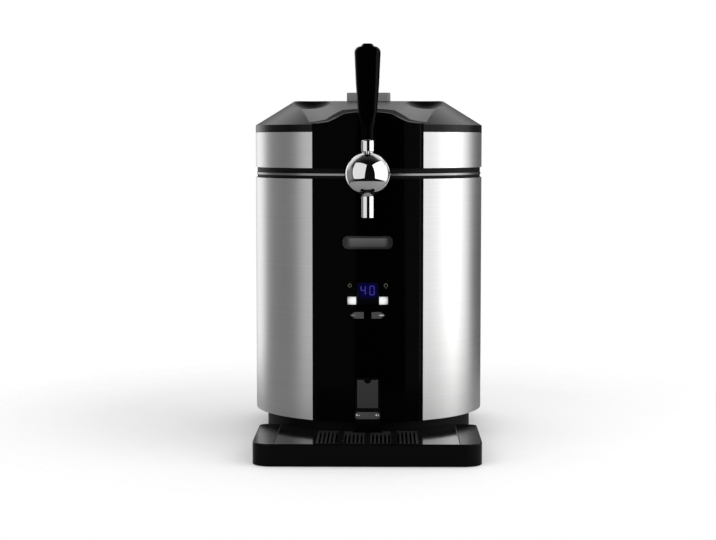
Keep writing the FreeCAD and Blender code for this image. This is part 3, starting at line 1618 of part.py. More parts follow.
def make_lid_outside():
    """The lid's outer form as a solid, with its openings."""
    body = helper_body("lid_outside")
    skirt = new_sketch(body, "XY_Plane", "band_bottom")
    pad(body, draw_loop(skirt, housing_corners(SHELL_OUTSIDE)),
        "band_top - band_bottom + bite")
    rim = new_sketch(body, "XY_Plane", "band_top")
    pad(body, draw_loop(rim, housing_corners("0")), "rim_top - band_top")
    add_slope(body, "rim_top", "0", "lid_top", "slope_run", "crown_corner")
    cut_ramp(body, "0")
    cut_dishes(body, "0")
    front = new_sketch(body, "XY_Plane", "band_bottom")
    inside = "(%s - seat_gap)" % COLUMN_INSIDE
    draw_loop(front, [
        ("-" + NOTCH_HALF, "-(body_radius + bite)"), (NOTCH_HALF, "-(body_radius + bite)"),
        (NOTCH_HALF, "-" + depth_at(inside, NOTCH_HALF), "0", "0", -1),
        ("-" + NOTCH_HALF, "-" + depth_at(inside, NOTCH_HALF))])
    pocket(body, front, "lid_top")
    notch = new_sketch(body, "XY_Plane", "band_bottom")
    draw_box(notch, "-" + NOTCH_HALF, NOTCH_HALF, "-body_radius", "-column_back")
    pocket(body, notch, "band_top - band_bottom")
    opening = new_sketch(body, "XY_Plane", "lid_top - 2 * lid_skin")
    draw_box(opening, "-(button_half + seat_gap)", "button_half + seat_gap",
             "-(button_depth_half + seat_gap)", "button_depth_half + seat_gap")
    pocket(body, opening, "lid_top")
    return body


def make_lid_inside():
    """The hollow of the lid: its outer form, moved in by the thickness of the moulding."""
    body = helper_body("lid_inside")
    shoulder = "(rim_top - %s + %s / %s)" % (SKIN_DROP, SHELL_INSIDE, SLOPE)
    top = "(lid_top - lid_skin)"
    top_inset = "((%s + %s - rim_top) * %s)" % (top, SKIN_DROP, SLOPE)
    skirt = new_sketch(body, "XY_Plane", "band_bottom - bite")
    pad(body, draw_loop(skirt, housing_corners(SHELL_INSIDE)), shoulder + " - band_bottom + bite")
    add_slope(body, shoulder, SHELL_INSIDE, top, top_inset, "inner_corner")
    cut_ramp(body, "lid_skin")
    cut_dishes(body, "lid_skin")
    wall = new_sketch(body, "XY_Plane", "band_top")
    edge = "(%s + lid_skin)" % NOTCH_HALF
    back = "(%s - seat_gap - lid_skin)" % COLUMN_INSIDE
    draw_loop(wall, [
        ("-" + edge, "-body_radius"), (edge, "-body_radius"),
        (edge, "-" + depth_at(back, edge), "0", "0", -1),
        ("-" + edge, "-" + depth_at(back, edge))])
    pocket(body, wall, "lid_top")
    return body


def add_slope(body, low, low_inset, high, high_inset, corner):
    """The sloping crown between two plans of the housing."""
    foot = draw_loop(new_sketch(body, "XY_Plane", low), housing_corners(low_inset))
    crown = draw_loop(new_sketch(body, "XY_Plane", high), housing_corners(high_inset, corner))
    loft(body, [foot, crown])


def cut_ramp(body, wall):
    """Cut the broad ramp that rises from the arch over the column to the flat top."""
    before = solid_volume(body)
    front = new_sketch(body, "XZ_Plane", "-ramp_front")
    draw_loop(front, ramp_corners(
        "(hood_half + %s)" % wall, "hood_knee", "hood_shoulder", "(hood_foot_height - %s)" % wall,
        "(hood_knee_height - %s)" % wall, "(hood_shoulder_height - %s)" % wall,
        "(hood_crown_height - %s)" % wall))
    rear = new_sketch(body, "XZ_Plane", "-ramp_rear")
    top = "(lid_top - %s)" % wall
    widening = "(ramp_half / hood_half)"
    draw_loop(rear, ramp_corners(
        "(ramp_half + %s)" % wall, "(hood_knee * %s)" % widening,
        "(hood_shoulder * %s)" % widening, top, top, top, "(%s + ramp_arch)" % top))
    loft(body, [front, rear], "SubtractiveLoft")
    check_cut(body, before)


def cut_dishes(body, wall):
    """Cut the two round dishes at the upper end of the ramp."""
    before = solid_volume(body)
    dish = body.newObject("PartDesign::SubtractiveSphere", "Dish")
    bind(dish, Radius="dish_radius + %s" % wall)
    place(dish, "dish_x", "-dish_y", "dish_height")
    body.Tip = dish
    check_cut(body, before)
    mirror(body, [dish])


def helper_body(label):
    """A body that a later boolean uses up."""
    body = document.addObject("PartDesign::Body", label)
    body.Label = label
    return body


def make_lid_fascia():
    """The column's continuation on the lid, cut by the lid's ramp at its top."""
    body = new_body("lid_fascia")
    face = new_sketch(body, "XY_Plane", "band_bottom")
    pad(body, draw_loop(face, column_face_corners()), "lid_top - band_bottom")
    fillet(body, "face_round", raised_edge)
    for sign in (1, -1):
        wall = new_sketch(body, "XY_Plane", "band_bottom")
        pad(body, draw_loop(wall, column_return_corners(sign)), "band_top - band_bottom")
    cut_ramp(body, "0")
    saddle = new_sketch(body, "XZ_Plane", "-" + FACE_RADIUS)
    draw_circle(saddle, "0", "tap_height", "shank_radius + shank_room")
    pocket(body, saddle, "2 * column_wall + face_rise")


def make_lid_bands():
    """Two brushed steel skins round the lid, above the side panels."""
    for label, sign in (("lid_band_right", 1), ("lid_band_left", -1)):
        body = new_body(label, z="band_bottom")
        sketch = draw_loop(new_sketch(body, "XY_Plane"), panel_corners(sign))
        pad(body, sketch, "band_top - band_bottom")


def make_lid_liner():
    """Inner lid moulding: a plate with an edge, a cup for the keg's head and a tunnel for the tap."""
    body = new_body("lid_liner")
    plate = new_sketch(body, "XY_Plane", "parting")
    pad(body, draw_loop(plate, housing_corners("seam_inset")), "band_bottom - parting")
    sunk = new_sketch(body, "XY_Plane", "parting + liner_plate")
    draw_loop(sunk, housing_corners("(seam_inset + liner_plate)"))
    pocket(body, sunk, "band_bottom")
    cup = draw_circle(new_sketch(body, "XY_Plane", "parting"), "0", "0", "cup_radius + cup_wall")
    pad(body, cup, "cup_top + cup_wall - parting")
    tunnel = new_sketch(body, "XY_Plane", "parting")
    draw_box(tunnel, "-(channel_half + tunnel_wall)", "channel_half + tunnel_wall",
             "-(channel_front + 2 * tunnel_wall)", "-(cup_radius - 2 * cup_wall)")
    pad(body, tunnel, "tunnel_top + tunnel_wall - parting")
    rail = new_sketch(body, "XY_Plane", "cup_top")
    draw_box(rail, "wedge_half + seat_gap + rail_half", "wedge_half + seat_gap + 3 * rail_half",
             "-rail_front", "bar_rear")
    other = draw_box(new_sketch(body, "XY_Plane", "cup_top"),
                     "-(wedge_half + seat_gap + 3 * rail_half)",
                     "-(wedge_half + seat_gap + rail_half)", "-rail_front", "bar_rear")
    pad(body, rail, "bar_bottom - seat_gap - cup_top")
    pad(body, other, "bar_bottom - seat_gap - cup_top")
    hollow = draw_circle(new_sketch(body, "XY_Plane", "parting"), "0", "0", "cup_radius")
    pocket(body, hollow, "cup_top - parting")
    way = new_sketch(body, "XY_Plane", "parting")
    draw_box(way, "-channel_half", "channel_half", "-(channel_front + tunnel_wall)",
             "-(cup_radius / 2)")
    pocket(body, way, "tunnel_top - parting")
    for sign in (1, -1):
        slot = new_sketch(body, "XY_Plane", "parting")
        draw_loop(slot, hook_slot_corners(sign, "hook_slot_gap"))
        pocket(body, slot, "band_bottom - parting")
    saddle = new_sketch(body, "XZ_Plane", "-body_radius")
    draw_circle(saddle, "0", "tap_height", "shank_radius + shank_room")
    pocket(body, saddle, "body_radius - chamber_radius")


def make_lid_foam():
    """Foam ring in the lid, between the skirt and the liner's cup."""
    body = new_body("lid_foam", z="band_bottom + seat_gap")
    height = "lid_foam_top - band_bottom"
    sketch = draw_loop(new_sketch(body, "XY_Plane"), housing_corners("(%s + seat_gap)" % PLUG_INSET))
    pad(body, sketch, height)
    hole = new_sketch(body, "XY_Plane")
    pocket(body, draw_circle(hole, "0", "0", "cup_radius + cup_wall + seat_gap"), height)
    bay = new_sketch(body, "XY_Plane")
    half = "(%s + seat_gap)" % NOTCH_HALF
    draw_box(bay, "-" + half, half, "-body_radius", "0")
    pocket(body, bay, height)


def make_release_button():
    """Push button on top of the lid, hollow below, with a wedge that drives the latch bar."""
    body = new_body("release_button")
    cap = new_sketch(body, "XY_Plane", "button_skirt")
    draw_box(cap, "-button_half", "button_half", "-button_depth_half", "button_depth_half")
    pad(body, cap, "button_top - button_skirt")
    fillet(body, "button_wall * 2", upright)
    fillet(body, "button_wall / 2", lambda middle, along, edge: abs(middle.z - value("button_top")) < 0.01)
    hollow = new_sketch(body, "XY_Plane", "button_skirt")
    draw_box(hollow, "-(button_half - button_wall)", "button_half - button_wall",
             "-(button_depth_half - button_wall)", "button_depth_half - button_wall")
    pocket(body, hollow, "button_top - button_skirt - button_wall")
    wedge = new_sketch(body, "YZ_Plane")
    top = "(button_top - button_wall / 2)"
    heel = "(button_skirt - wedge_tip - wedge_back)"
    draw_loop(wedge, [
        ("-wedge_half", "wedge_tip"), ("-wedge_back", "wedge_tip"),
        (heel, "button_skirt"), (heel, top), ("-wedge_half", top)])
    pad_both(body, wedge, "2 * wedge_half")


def make_latch_bar():
    """Latch bar: a strap over the liner's cup with two hooked legs, driven back by the button."""
    body = new_body("latch_bar")
    strap = new_sketch(body, "XY_Plane", "bar_bottom")
    draw_box(strap, "-bar_half", "bar_half", "-bar_front", "bar_rear")
    pad(body, strap, "bar_thickness")
    yoke = new_sketch(body, "XZ_Plane", "-bar_front")
    draw_loop(yoke, [
        ("-bar_half", BAR_TOP), ("-bar_half", "yoke_high"), ("-hook_outer", "yoke_low"),
        ("-hook_outer", "hook_bottom"), ("-hook_inner", "hook_bottom"),
        ("-hook_inner", "yoke_low"), ("hook_inner", "yoke_low"), ("hook_inner", "hook_bottom"),
        ("hook_outer", "hook_bottom"), ("hook_outer", "yoke_low"), ("bar_half", "yoke_high"),
        ("bar_half", BAR_TOP)])
    pad(body, yoke, "bar_thickness")
    for low, high in (("-hook_outer", "-hook_inner"), ("hook_inner", "hook_outer")):
        lip = new_sketch(body, "XY_Plane", "hook_bottom")
        draw_box(lip, low, high, "-(bar_front + hook_lip)", "-(bar_front - bite)")
        pad(body, lip, "hook_lip_height")
    window = new_sketch(body, "YZ_Plane")
    front = "-(wedge_half + wedge_room + button_travel)"
    low = "(bar_bottom - bite)"
    high = "(%s + bite)" % BAR_TOP
    face = "(2 * seat_gap - wedge_back - wedge_tip)"
    draw_loop(window, [
        (front, low), ("%s + %s" % (low, face), low), ("%s + %s" % (high, face), high),
        (front, high)])
    pocket_both(body, window, "2 * (wedge_half + seat_gap)")


def make_latch_keepers():
    """Two steel keepers on the deck that the hooks reach through."""
    keepers = []
    for sign in (1, -1):
        left, right = ("hook_inner", "hook_outer") if sign > 0 else ("-hook_outer", "-hook_inner")
        plate = box(left + " - keeper_margin", right + " + keeper_margin",
                    "-(bar_front + hook_lip + hook_slot_gap + keeper_margin)",
                    "-(hook_slot_rear - keeper_margin)", "deck_top",
                    "deck_top + keeper_thickness")
        slot = box(left + " - hook_slot_gap", right + " + hook_slot_gap",
                   "-(bar_front + hook_lip + hook_slot_gap)", "-hook_slot_rear",
                   "deck_top - bite", "deck_top + keeper_thickness + bite")
        keepers.append(cut(plate, slot))
    keep(group(keepers), "latch_keepers")


def make_hinge_ears():
    """Hinge ears: an outer pair on the deck and an inner pair on the back of the lid."""
    deck_ears = []
    lid_ears = []
    for sign in ("-", ""):
        start = "-ear_outer" if sign == "-" else "ear_middle"
        ear = new_ear(start, "ear_outer - ear_middle", [
            ("hinge_back - ear_root", "deck_top"), ("hinge_back", "deck_top"),
            ("hinge_back", "trim_top - seat_gap"),
            ("hinge_back - ear_root", "trim_top - seat_gap")])
        deck_ears.append(ear)
        start = "-(ear_middle - ear_gap)" if sign == "-" else "ear_inner"
        ear = new_ear(start, "ear_middle - ear_gap - ear_inner", [
            (SHELL_BACK, "band_bottom + ear_foot"), ("hinge_back - ear_heel", "hinge_height"),
            ("hinge_back + barrel_radius", "hinge_height"),
            ("hinge_back + barrel_radius", "band_bottom + ear_heel"),
            (SHELL_BACK, "band_bottom + ear_height")])
        lid_ears.append(ear)
    keep(group(deck_ears), "deck_hinge_ears")
    keep(group(lid_ears), "lid_hinge_ears")


def new_ear(start, width, arm_corners):
    """One ear: a barrel round the hinge pin and the arm or foot that carries it."""
    body = helper_body("ear")
    arm = new_sketch(body, "YZ_Plane", start)
    pad(body, draw_loop(arm, arm_corners), width)
    barrel = new_sketch(body, "YZ_Plane", start)
    pad(body, draw_circle(barrel, "hinge_back", "hinge_height", "barrel_radius"), width)
    bore = new_sketch(body, "YZ_Plane")
    draw_circle(bore, "hinge_back", "hinge_height", "hinge_pin_radius + hinge_running")
    pocket_both(body, bore, "4 * ear_outer")
    return body


def make_hinge_pin():
    """Steel pin through the ears of the deck and the lid."""
    keep(cylinder("hinge_pin_radius", "2 * (ear_outer + pin_overhang)",
                  "-(ear_outer + pin_overhang)", "hinge_back",
                  "hinge_height", "x"), "hinge_pin")


# ---------------------------------------------------------------------------------------------------
# Tap, drawn about the centre of its ball
# ---------------------------------------------------------------------------------------------------

def tap_body(label):
    """A body that stands at the centre of the tap's ball."""
    return new_body(label, y="-tap_reach", z="tap_height")


def make_faucet_body():
    """Chrome ball with a chamber for the cam, a slot for the lever and bores to shank and spout."""
    body = tap_body("faucet_body")
    profile = new_sketch(body, "XZ_Plane")
    draw_loop(profile, [("0", "-ball_radius", "0", "0", 1), ("0", "ball_radius")])
    revolve(body, profile)
    chamber = draw_circle(new_sketch(body, "YZ_Plane"), "0", "0", CAVITY_RADIUS)
    pocket_both(body, chamber, "cam_width + 2 * cam_room")
    room = "(stem_radius + stem_room)"
    reach = "(ball_radius + 4 * bite)"
    slot = new_sketch(body, "YZ_Plane")
    draw_loop(slot, [
        (room, "0"), (room, reach),
        ("-(%s / cos(lever_throw) + %s * tan(lever_throw))" % (room, reach), reach),
        ("-(%s / cos(lever_throw))" % room, "0")])
    pocket_both(body, slot, "2 * " + room)
    pin_bore = draw_circle(new_sketch(body, "YZ_Plane"), "0", "0", "pin_radius + pin_fit")
    pocket_both(body, pin_bore, "2 * (pin_half + pin_end_gap)")
    outlet = draw_circle(new_sketch(body, "XY_Plane"), "0", "0", "spout_bore")
    pocket(body, outlet, "spigot_top + bite", -1)
    socket = draw_circle(new_sketch(body, "XY_Plane", "-spigot_top"), "0", "0",
                         "spigot_radius + spigot_fit")
    pocket(body, socket, "ball_radius", -1)
    inlet = draw_circle(new_sketch(body, "XZ_Plane"), "0", "0", "shank_bore")
    pocket(body, inlet, "2 * ball_radius")
    seat = new_sketch(body, "XZ_Plane", "shank_start")
    draw_circle(seat, "0", "0", "ball_radius")
    pocket(body, seat, "ball_radius")


def make_spout():
    """Chrome spout with a spigot in the ball."""
    body = tap_body("spout")
    profile = new_sketch(body, "XZ_Plane")
    shoulder = "(sqrt(ball_radius^2 - spigot_radius^2) + spigot_fit)"
    draw_loop(profile, [
        ("spout_bore", "-(spout_bottom - spout_mouth)"),
        ("spout_bore + spout_mouth", "-spout_bottom"),
        ("spout_radius - spout_bevel", "-spout_bottom"),
        ("spout_radius", "-(spout_bottom - spout_bevel)"),
        ("spout_radius", "-" + shoulder), ("spigot_radius", "-" + shoulder),
        ("spigot_radius", "-spigot_top"), ("spout_bore", "-spigot_top")])
    revolve(body, profile)


def make_tap_shank():
    """Chrome shank from the ball through the front to a barb for the beer line."""
    body = tap_body("tap_shank")
    profile = new_sketch(body, "YZ_Plane")
    step = "((barb_end - shank_end) / 3)"
    ring = []
    for index in (3, 2, 1):
        outer = "(shank_end + %d * %s)" % (index, step)
        ring += [(outer, "barb_root"), ("%s - %s" % (outer, step), "barb_crest")]
    draw_loop(profile, [
        ("shank_start", "shank_bore"), ("shank_end - shank_throat", "shank_bore"),
        ("shank_end - shank_throat", "barb_bore"), ("barb_end", "barb_bore")] + ring + [
        ("shank_end", "shank_radius - shank_bevel"), ("shank_end - shank_bevel", "shank_radius"),
        ("shank_start", "shank_radius")])
    revolve(body, profile, "Y_Axis")


def make_tap_collar():
    """Chrome collar between the ball and the column."""
    body = tap_body("tap_collar")
    back = "(tap_reach - %s - seat_gap)" % FACE_RADIUS
    front = "(%s - collar_thickness)" % back
    bore = "shank_radius + spigot_fit"
    profile = new_sketch(body, "YZ_Plane")
    draw_loop(profile, [
        (front, bore), (front, "collar_radius - collar_bevel"),
        (front + " + collar_bevel", "collar_radius"), (back, "collar_radius"), (back, bore)])
    revolve(body, profile, "Y_Axis")


def make_shank_nut():
    """Hexagon nut that draws the shank against the deck's saddle."""
    nut = document.addObject("Part::Prism", "Nut")
    nut.Polygon = 6
    bind(nut, Circumradius="nut_radius", Height="nut_length")
    nut.Placement = FreeCAD.Placement(Vector(0, 0, 0), FreeCAD.Rotation(Vector(1, 0, 0), -90))
    place(nut, "0", "-channel_front + spigot_fit", "tap_height")
    bore = cylinder("shank_radius + spigot_fit", "2 * nut_length", "0", "-channel_front - bite",
                    "tap_height", "y")
    keep(cut(nut, bore), "shank_nut")


def make_lever_pin():
    """Steel pin that the lever tips about, inside the ball."""
    keep(cylinder("pin_radius", "2 * pin_half", "-pin_half", "-tap_reach", "tap_height", "x"),
         "lever_pin")


def make_tap_lever():
    """Chrome lever: an eccentric cam on the pin, a stem through the slot, a ferrule and a stud."""
    body = tap_body("tap_lever")
    cup = "(ball_radius + swing_gap)"
    profile = new_sketch(body, "XZ_Plane")
    draw_loop(profile, [
        ("0", "cam_offset"), ("stem_radius", "cam_offset"),
        ("stem_radius", depth_at(cup, "stem_radius"), "0", "0", -1),
        ("ferrule_radius", depth_at(cup, "ferrule_radius")),
        ("ferrule_radius", "ferrule_top - ferrule_bevel"),
        ("ferrule_radius - ferrule_bevel", "ferrule_top"),
        ("stud_radius", "ferrule_top"), ("stud_radius", "stud_top"), ("0", "stud_top")])
    revolve(body, profile)
    cam = draw_circle(new_sketch(body, "YZ_Plane"), "0", "-cam_offset", "cam_radius")
    pad_both(body, cam, "cam_width")
    neck = new_sketch(body, "XY_Plane", "-cam_offset")
    draw_circle(neck, "0", "0", "stem_radius")
    pad(body, neck, "3 * cam_offset")
    bore = draw_circle(new_sketch(body, "YZ_Plane"), "0", "0", "pin_radius + pin_running")
    pocket_both(body, bore, "2 * cam_width")


def make_tap_handle():
    """Black handle: a slim neck that swells to a broad, rounded head, flatter than it is wide."""
    body = tap_body("tap_handle")
    foot = "(ferrule_top + spigot_fit)"
    profile = new_sketch(body, "XZ_Plane")
    draw_loop(profile, [
        ("0", foot), ("handle_neck", foot), ("handle_neck", "handle_neck_top"),
        ("handle_waist", "handle_waist_height"), ("handle_mid_half", "handle_mid"),
        ("handle_belly", "handle_belly_height", "handle_belly - handle_round",
         "handle_belly_height", 1),
        ("handle_belly - handle_round", "handle_belly_height + handle_round"),
        ("handle_crown", "handle_top"), ("0", "handle_top")])
    revolve(body, profile)
    for side in ("-", ""):
        flat = new_sketch(body, "YZ_Plane")
        deep = side + "(handle_belly * handle_flatness)"
        far = side + "(2 * handle_belly)"
        draw_loop(flat, [
            (side + "(handle_neck + seat_gap)", "handle_neck_top"),
            (deep, "handle_belly_height"),
            (side + "(handle_crown + bite)", "handle_top + bite"), (far, "handle_top + bite"),
            (far, "handle_neck_top")])
        pocket_both(body, flat, "4 * handle_belly")
    hole = new_sketch(body, "XY_Plane", "ferrule_top")
    draw_circle(hole, "0", "0", "stud_radius + pin_fit")
    pocket(body, hole, "stud_top - ferrule_top + bite")


def make_tap_plunger():
    """Plunger that the cam pushes back off its seat in the shank."""
    body = tap_body("tap_plunger")
    start = "(cam_radius + plunger_gap)"
    profile = new_sketch(body, "YZ_Plane")
    draw_loop(profile, [
        (start, "0"), (start, "plunger_head"), (start + " + plunger_head_length", "plunger_head"),
        (start + " + plunger_head_length", "plunger_radius"),
        ("plunger_end - plunger_seat_length - plunger_cone", "plunger_radius"),
        ("plunger_end - plunger_seat_length", "plunger_seat"),
        ("plunger_end", "plunger_seat"), ("plunger_end", "0")])
    revolve(body, profile, "Y_Axis")


# ---------------------------------------------------------------------------------------------------
# Drip tray
# ---------------------------------------------------------------------------------------------------

TRAY_RING = "(body_radius - plinth_inset + tray_gap)"


def make_drip_tray():
    """Black basin that wraps the front of the plinth, with a hollow deck either side."""
    body = new_body("drip_tray", z="tray_bottom")
    height = "(tray_top - tray_bottom)"
    pad(body, draw_loop(new_sketch(body, "XY_Plane"), tray_corners(TRAY_RING)), height)
    fillet(body, "tray_rear_corner",
           lambda middle, along, edge: upright(middle, along, edge)
           and abs(middle.x) > value("tray_half - bite")
           and middle.y > -value("tray_rear + bite"))
    fillet(body, "tray_edge",
           lambda middle, along, edge: abs(middle.z - value(height)) < 0.01
           and middle.y < -value("tray_rear + bite")
           and math.hypot(middle.x, middle.y) > value(TRAY_RING + " + bite"))
    for sign in (1, -1):
        hollow = draw_loop(new_sketch(body, "XY_Plane"), wing_corners(sign))
        pocket(body, hollow, height + " - tray_wall")
    basin = new_sketch(body, "XY_Plane", "tray_floor")
    draw_loop(basin, basin_corners("(plate_half - plate_rest)", "tray_wall", TRAY_RING))
    pocket(body, basin, height)
    ledge = new_sketch(body, "XY_Plane", GRILLE_BOTTOM + " - tray_bottom")
    draw_loop(ledge, basin_corners("(plate_half + grille_gap)", "grille_ledge", TRAY_RING))
    pocket(body, ledge, height)
    boss = new_sketch(body, "XY_Plane")
    draw_box(boss, "-(upstand_half + bite)", "upstand_half + bite", "-upstand_front",
             "-(%s + bite)" % TRAY_RING)
    pad(body, boss, "upstand_bottom - tray_bottom")


def make_drip_grille():
    """Glossy top plate with four fields of slots and a gap round the upstand."""
    body = new_body("drip_grille", z=GRILLE_BOTTOM)
    plate = new_sketch(body, "XY_Plane")
    draw_loop(plate, basin_corners("plate_half", "(grille_ledge + grille_gap)", TRAY_RING))
    pad(body, plate, "grille_thickness")
    gap = new_sketch(body, "XY_Plane")
    draw_box(gap, "-(upstand_half + upstand_room)", "upstand_half + upstand_room",
             "-(upstand_front + upstand_room)", "0")
    pocket(body, gap, "grille_thickness")
    field_width = "((slots_in_field - 1) * slot_pitch + slot_width)"
    for field, rear in (("inner_field", "upstand_front + 3 * upstand_room"),
                        ("outer_field", "slot_rear")):
        for left in (field, "-(%s + %s)" % (field, field_width)):
            slot = new_sketch(body, "XY_Plane")
            draw_box(slot, left, left + " + slot_width", "-slot_front", "-(%s)" % rear)
            first = pocket(body, slot, "grille_thickness")
            repeat_along(body, [first], "X_Axis", "slot_pitch", "slots_in_field")


def make_tray_upstand():
    """Black upstand of the tray, in the column's guide."""
    body = new_body("tray_upstand", z="upstand_bottom")
    plan = new_sketch(body, "XY_Plane")
    draw_box(plan, "-upstand_half", "upstand_half", "-upstand_front",
             "-(upstand_front - upstand_thickness)")
    pad(body, plan, "upstand_top - upstand_bottom")
    fillet(body, "upstand_corner", lambda middle, along, edge: abs(along.y) > 0.999
           and middle.z > value("upstand_top - upstand_bottom - bite"))


def make_tongue_plate():
    """Grey plate on the upstand with a half-round finger notch."""
    body = new_body("tongue_plate")
    front = new_sketch(body, "XZ_Plane", "-upstand_front")
    draw_loop(front, [
        ("-tongue_half", "tongue_low"), ("tongue_half", "tongue_low"),
        ("tongue_half", "tongue_high"), ("tongue_notch", "tongue_high", "0", "tongue_high", -1),
        ("-tongue_notch", "tongue_high"), ("-tongue_half", "tongue_high")])
    pad(body, front, "tongue_thickness", -1)


def make_catch_bar():
    """Bright bar across the foot of the upstand."""
    body = new_body("catch_bar")
    front = new_sketch(body, "XZ_Plane", "-upstand_front")
    draw_box(front, "-upstand_half", "upstand_half", "catch_low", "catch_high")
    pad(body, front, "catch_thickness", -1)
    fillet(body, "catch_round", lambda middle, along, edge: abs(along.y) > 0.999)


# ---------------------------------------------------------------------------------------------------
# Build, check and write
# ---------------------------------------------------------------------------------------------------

def make_all():
    """Every piece, from the cabinet outwards."""
    for make in (
            make_cabinet_shell, make_side_panels, make_front_column, make_plinth, make_feet,
            make_top_deck, make_trims, make_lid_gasket, make_keg_chamber, make_body_foam,
            make_cold_block, make_cooling_module, make_heat_sink, make_fan_frame, make_fan_rotor,
            make_rear_cover, make_rear_screws, make_power_inlet, make_power_switch,
            make_power_board, make_keys, make_control_board, make_display_lens, make_badge_plate,
            make_lid_shell, make_lid_fascia, make_lid_bands, make_lid_liner, make_lid_foam,
            make_release_button, make_latch_bar, make_latch_keepers, make_hinge_ears, make_hinge_pin,
            make_faucet_body, make_spout, make_tap_shank, make_tap_collar, make_shank_nut,
            make_lever_pin, make_tap_lever, make_tap_handle, make_tap_plunger, make_drip_tray,
            make_drip_grille, make_tray_upstand, make_tongue_plate, make_catch_bar):
        make()
        document.recompute()


def check_document():
    """Stop unless every feature has rebuilt and every piece is a valid solid."""
    for item in document.Objects:
        if "Invalid" in item.State or "Error" in item.State:
            raise ValueError("%s did not rebuild" % item.Label)
    for piece in PIECES:
        if piece.Shape.isNull() or not piece.Shape.isValid() or not piece.Shape.Solids:
            raise ValueError("%s is not a valid solid" % piece.Label)


def write_parts():
    """One STEP file for each piece."""
    os.makedirs("parts", exist_ok=True)
    for piece in PIECES:
        piece.Shape.exportStep("parts/%s.step" % piece.Label)
    print("%d pieces written" % len(PIECES))


make_all()
check_document()
write_parts()
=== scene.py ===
# %% [markdown]
# # A mini keg beer dispenser, finished in Blender
# The hard parts of this machine come from the CAD frame: cabinet, lid, ball tap, drip tray, all at true
# size. This lesson gives every one of them a real finish (brushed steel, piano-black plastic, chrome,
# grained plastic), and models what a CAD file leaves out: the lit digits, the printed signs, the ribs on
# the arrow keys and two small rivets. Cells can be run one after another, and each prints what it made.

# %% Load the frame
import json
import math

import bpy
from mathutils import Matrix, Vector


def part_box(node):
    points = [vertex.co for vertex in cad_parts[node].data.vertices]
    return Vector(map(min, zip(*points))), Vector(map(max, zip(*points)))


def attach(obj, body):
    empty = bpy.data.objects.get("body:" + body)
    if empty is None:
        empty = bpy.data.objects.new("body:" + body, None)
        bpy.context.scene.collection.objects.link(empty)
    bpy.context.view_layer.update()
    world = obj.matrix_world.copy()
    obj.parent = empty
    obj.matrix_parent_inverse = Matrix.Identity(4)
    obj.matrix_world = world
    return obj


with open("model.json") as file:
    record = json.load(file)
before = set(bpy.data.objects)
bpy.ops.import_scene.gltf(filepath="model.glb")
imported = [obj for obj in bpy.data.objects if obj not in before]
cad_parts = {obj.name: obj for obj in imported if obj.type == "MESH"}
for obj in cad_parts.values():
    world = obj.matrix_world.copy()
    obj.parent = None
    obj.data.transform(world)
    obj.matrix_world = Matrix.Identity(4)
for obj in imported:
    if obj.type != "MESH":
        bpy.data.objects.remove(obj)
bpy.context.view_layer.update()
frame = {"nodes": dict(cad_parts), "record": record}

bpy.ops.object.select_all(action="DESELECT")

# %% [markdown]
# ## Camera
# The machine is seen almost straight from the front, from two metres away and a little above the tap. A
# long lens keeps its upright lines parallel. Position and angles are set first, so that each later look
# is judged in the same view.

# %% Camera
CAMERA_PLACE = (0.01614, -2.0577, 0.35884)
CAMERA_PITCH = -0.0753
CAMERA_YAW = -0.0142
LENS_MM = 84.24
SENSOR_MM = 36

bpy.ops.object.camera_add(location=CAMERA_PLACE, rotation=(math.pi / 2 + CAMERA_PITCH, 0, -CAMERA_YAW))
camera = bpy.context.object
camera.name = "front_camera"
camera.data.lens = LENS_MM
camera.data.sensor_width = SENSOR_MM
bpy.context.scene.camera = camera
print("camera", tuple(round(v, 3) for v in camera.location))

# %% [markdown]
# ## Shader maths as Python
# A finish is mostly arithmetic on patterns: grain times strength, one minus a mask. The class below wraps
# one output socket of a node, so that `1 - mask * 0.5` adds its Math nodes by itself. `Finish` holds
# one material and has a single method, `add`, for every other kind of node.

# %% The signal class
class Signal:
    """A value that varies over a surface. Arithmetic on it adds Math nodes to its finish."""

    def __init__(self, finish, socket):
        self.finish = finish
        self.socket = socket

    def math(self, operation, first, second):
        return self.finish.add("ShaderNodeMath", {"operation": operation}, {0: first, 1: second})

    def __add__(self, other):
        return self.math("ADD", self, other)

    def __radd__(self, other):
        return self.math("ADD", other, self)

    def __sub__(self, other):
        return self.math("SUBTRACT", self, other)

    def __rsub__(self, other):
        return self.math("SUBTRACT", other, self)

    def __mul__(self, other):
        return self.math("MULTIPLY", self, other)

    def __rmul__(self, other):
        return self.math("MULTIPLY", other, self)

    def __truediv__(self, other):
        return self.math("DIVIDE", self, other)

    def __pow__(self, other):
        return self.math("POWER", self, other)

    def __abs__(self):
        return self.math("ABSOLUTE", self, 0.0)

    def step(self, low, high):
        """0 below low, 1 above high, and an even rise between them."""
        limits = {"Value": self, "From Min": low, "From Max": high, "To Min": 0.0, "To Max": 1.0}
        return self.finish.add("ShaderNodeMapRange", {"clamp": True}, limits)

    def inside(self, low, high, edge):
        """1 between low and high, with a soft edge that wide."""
        return self.step(low, low + edge) * (1 - self.step(high - edge, high))


print("a signal knows + - * / ** abs, step and inside")

# %% [markdown]
# `Finish` starts every material with one Principled shader. Values that are the same all over go straight
# on the shader's own sockets, and only what changes over the surface is linked.

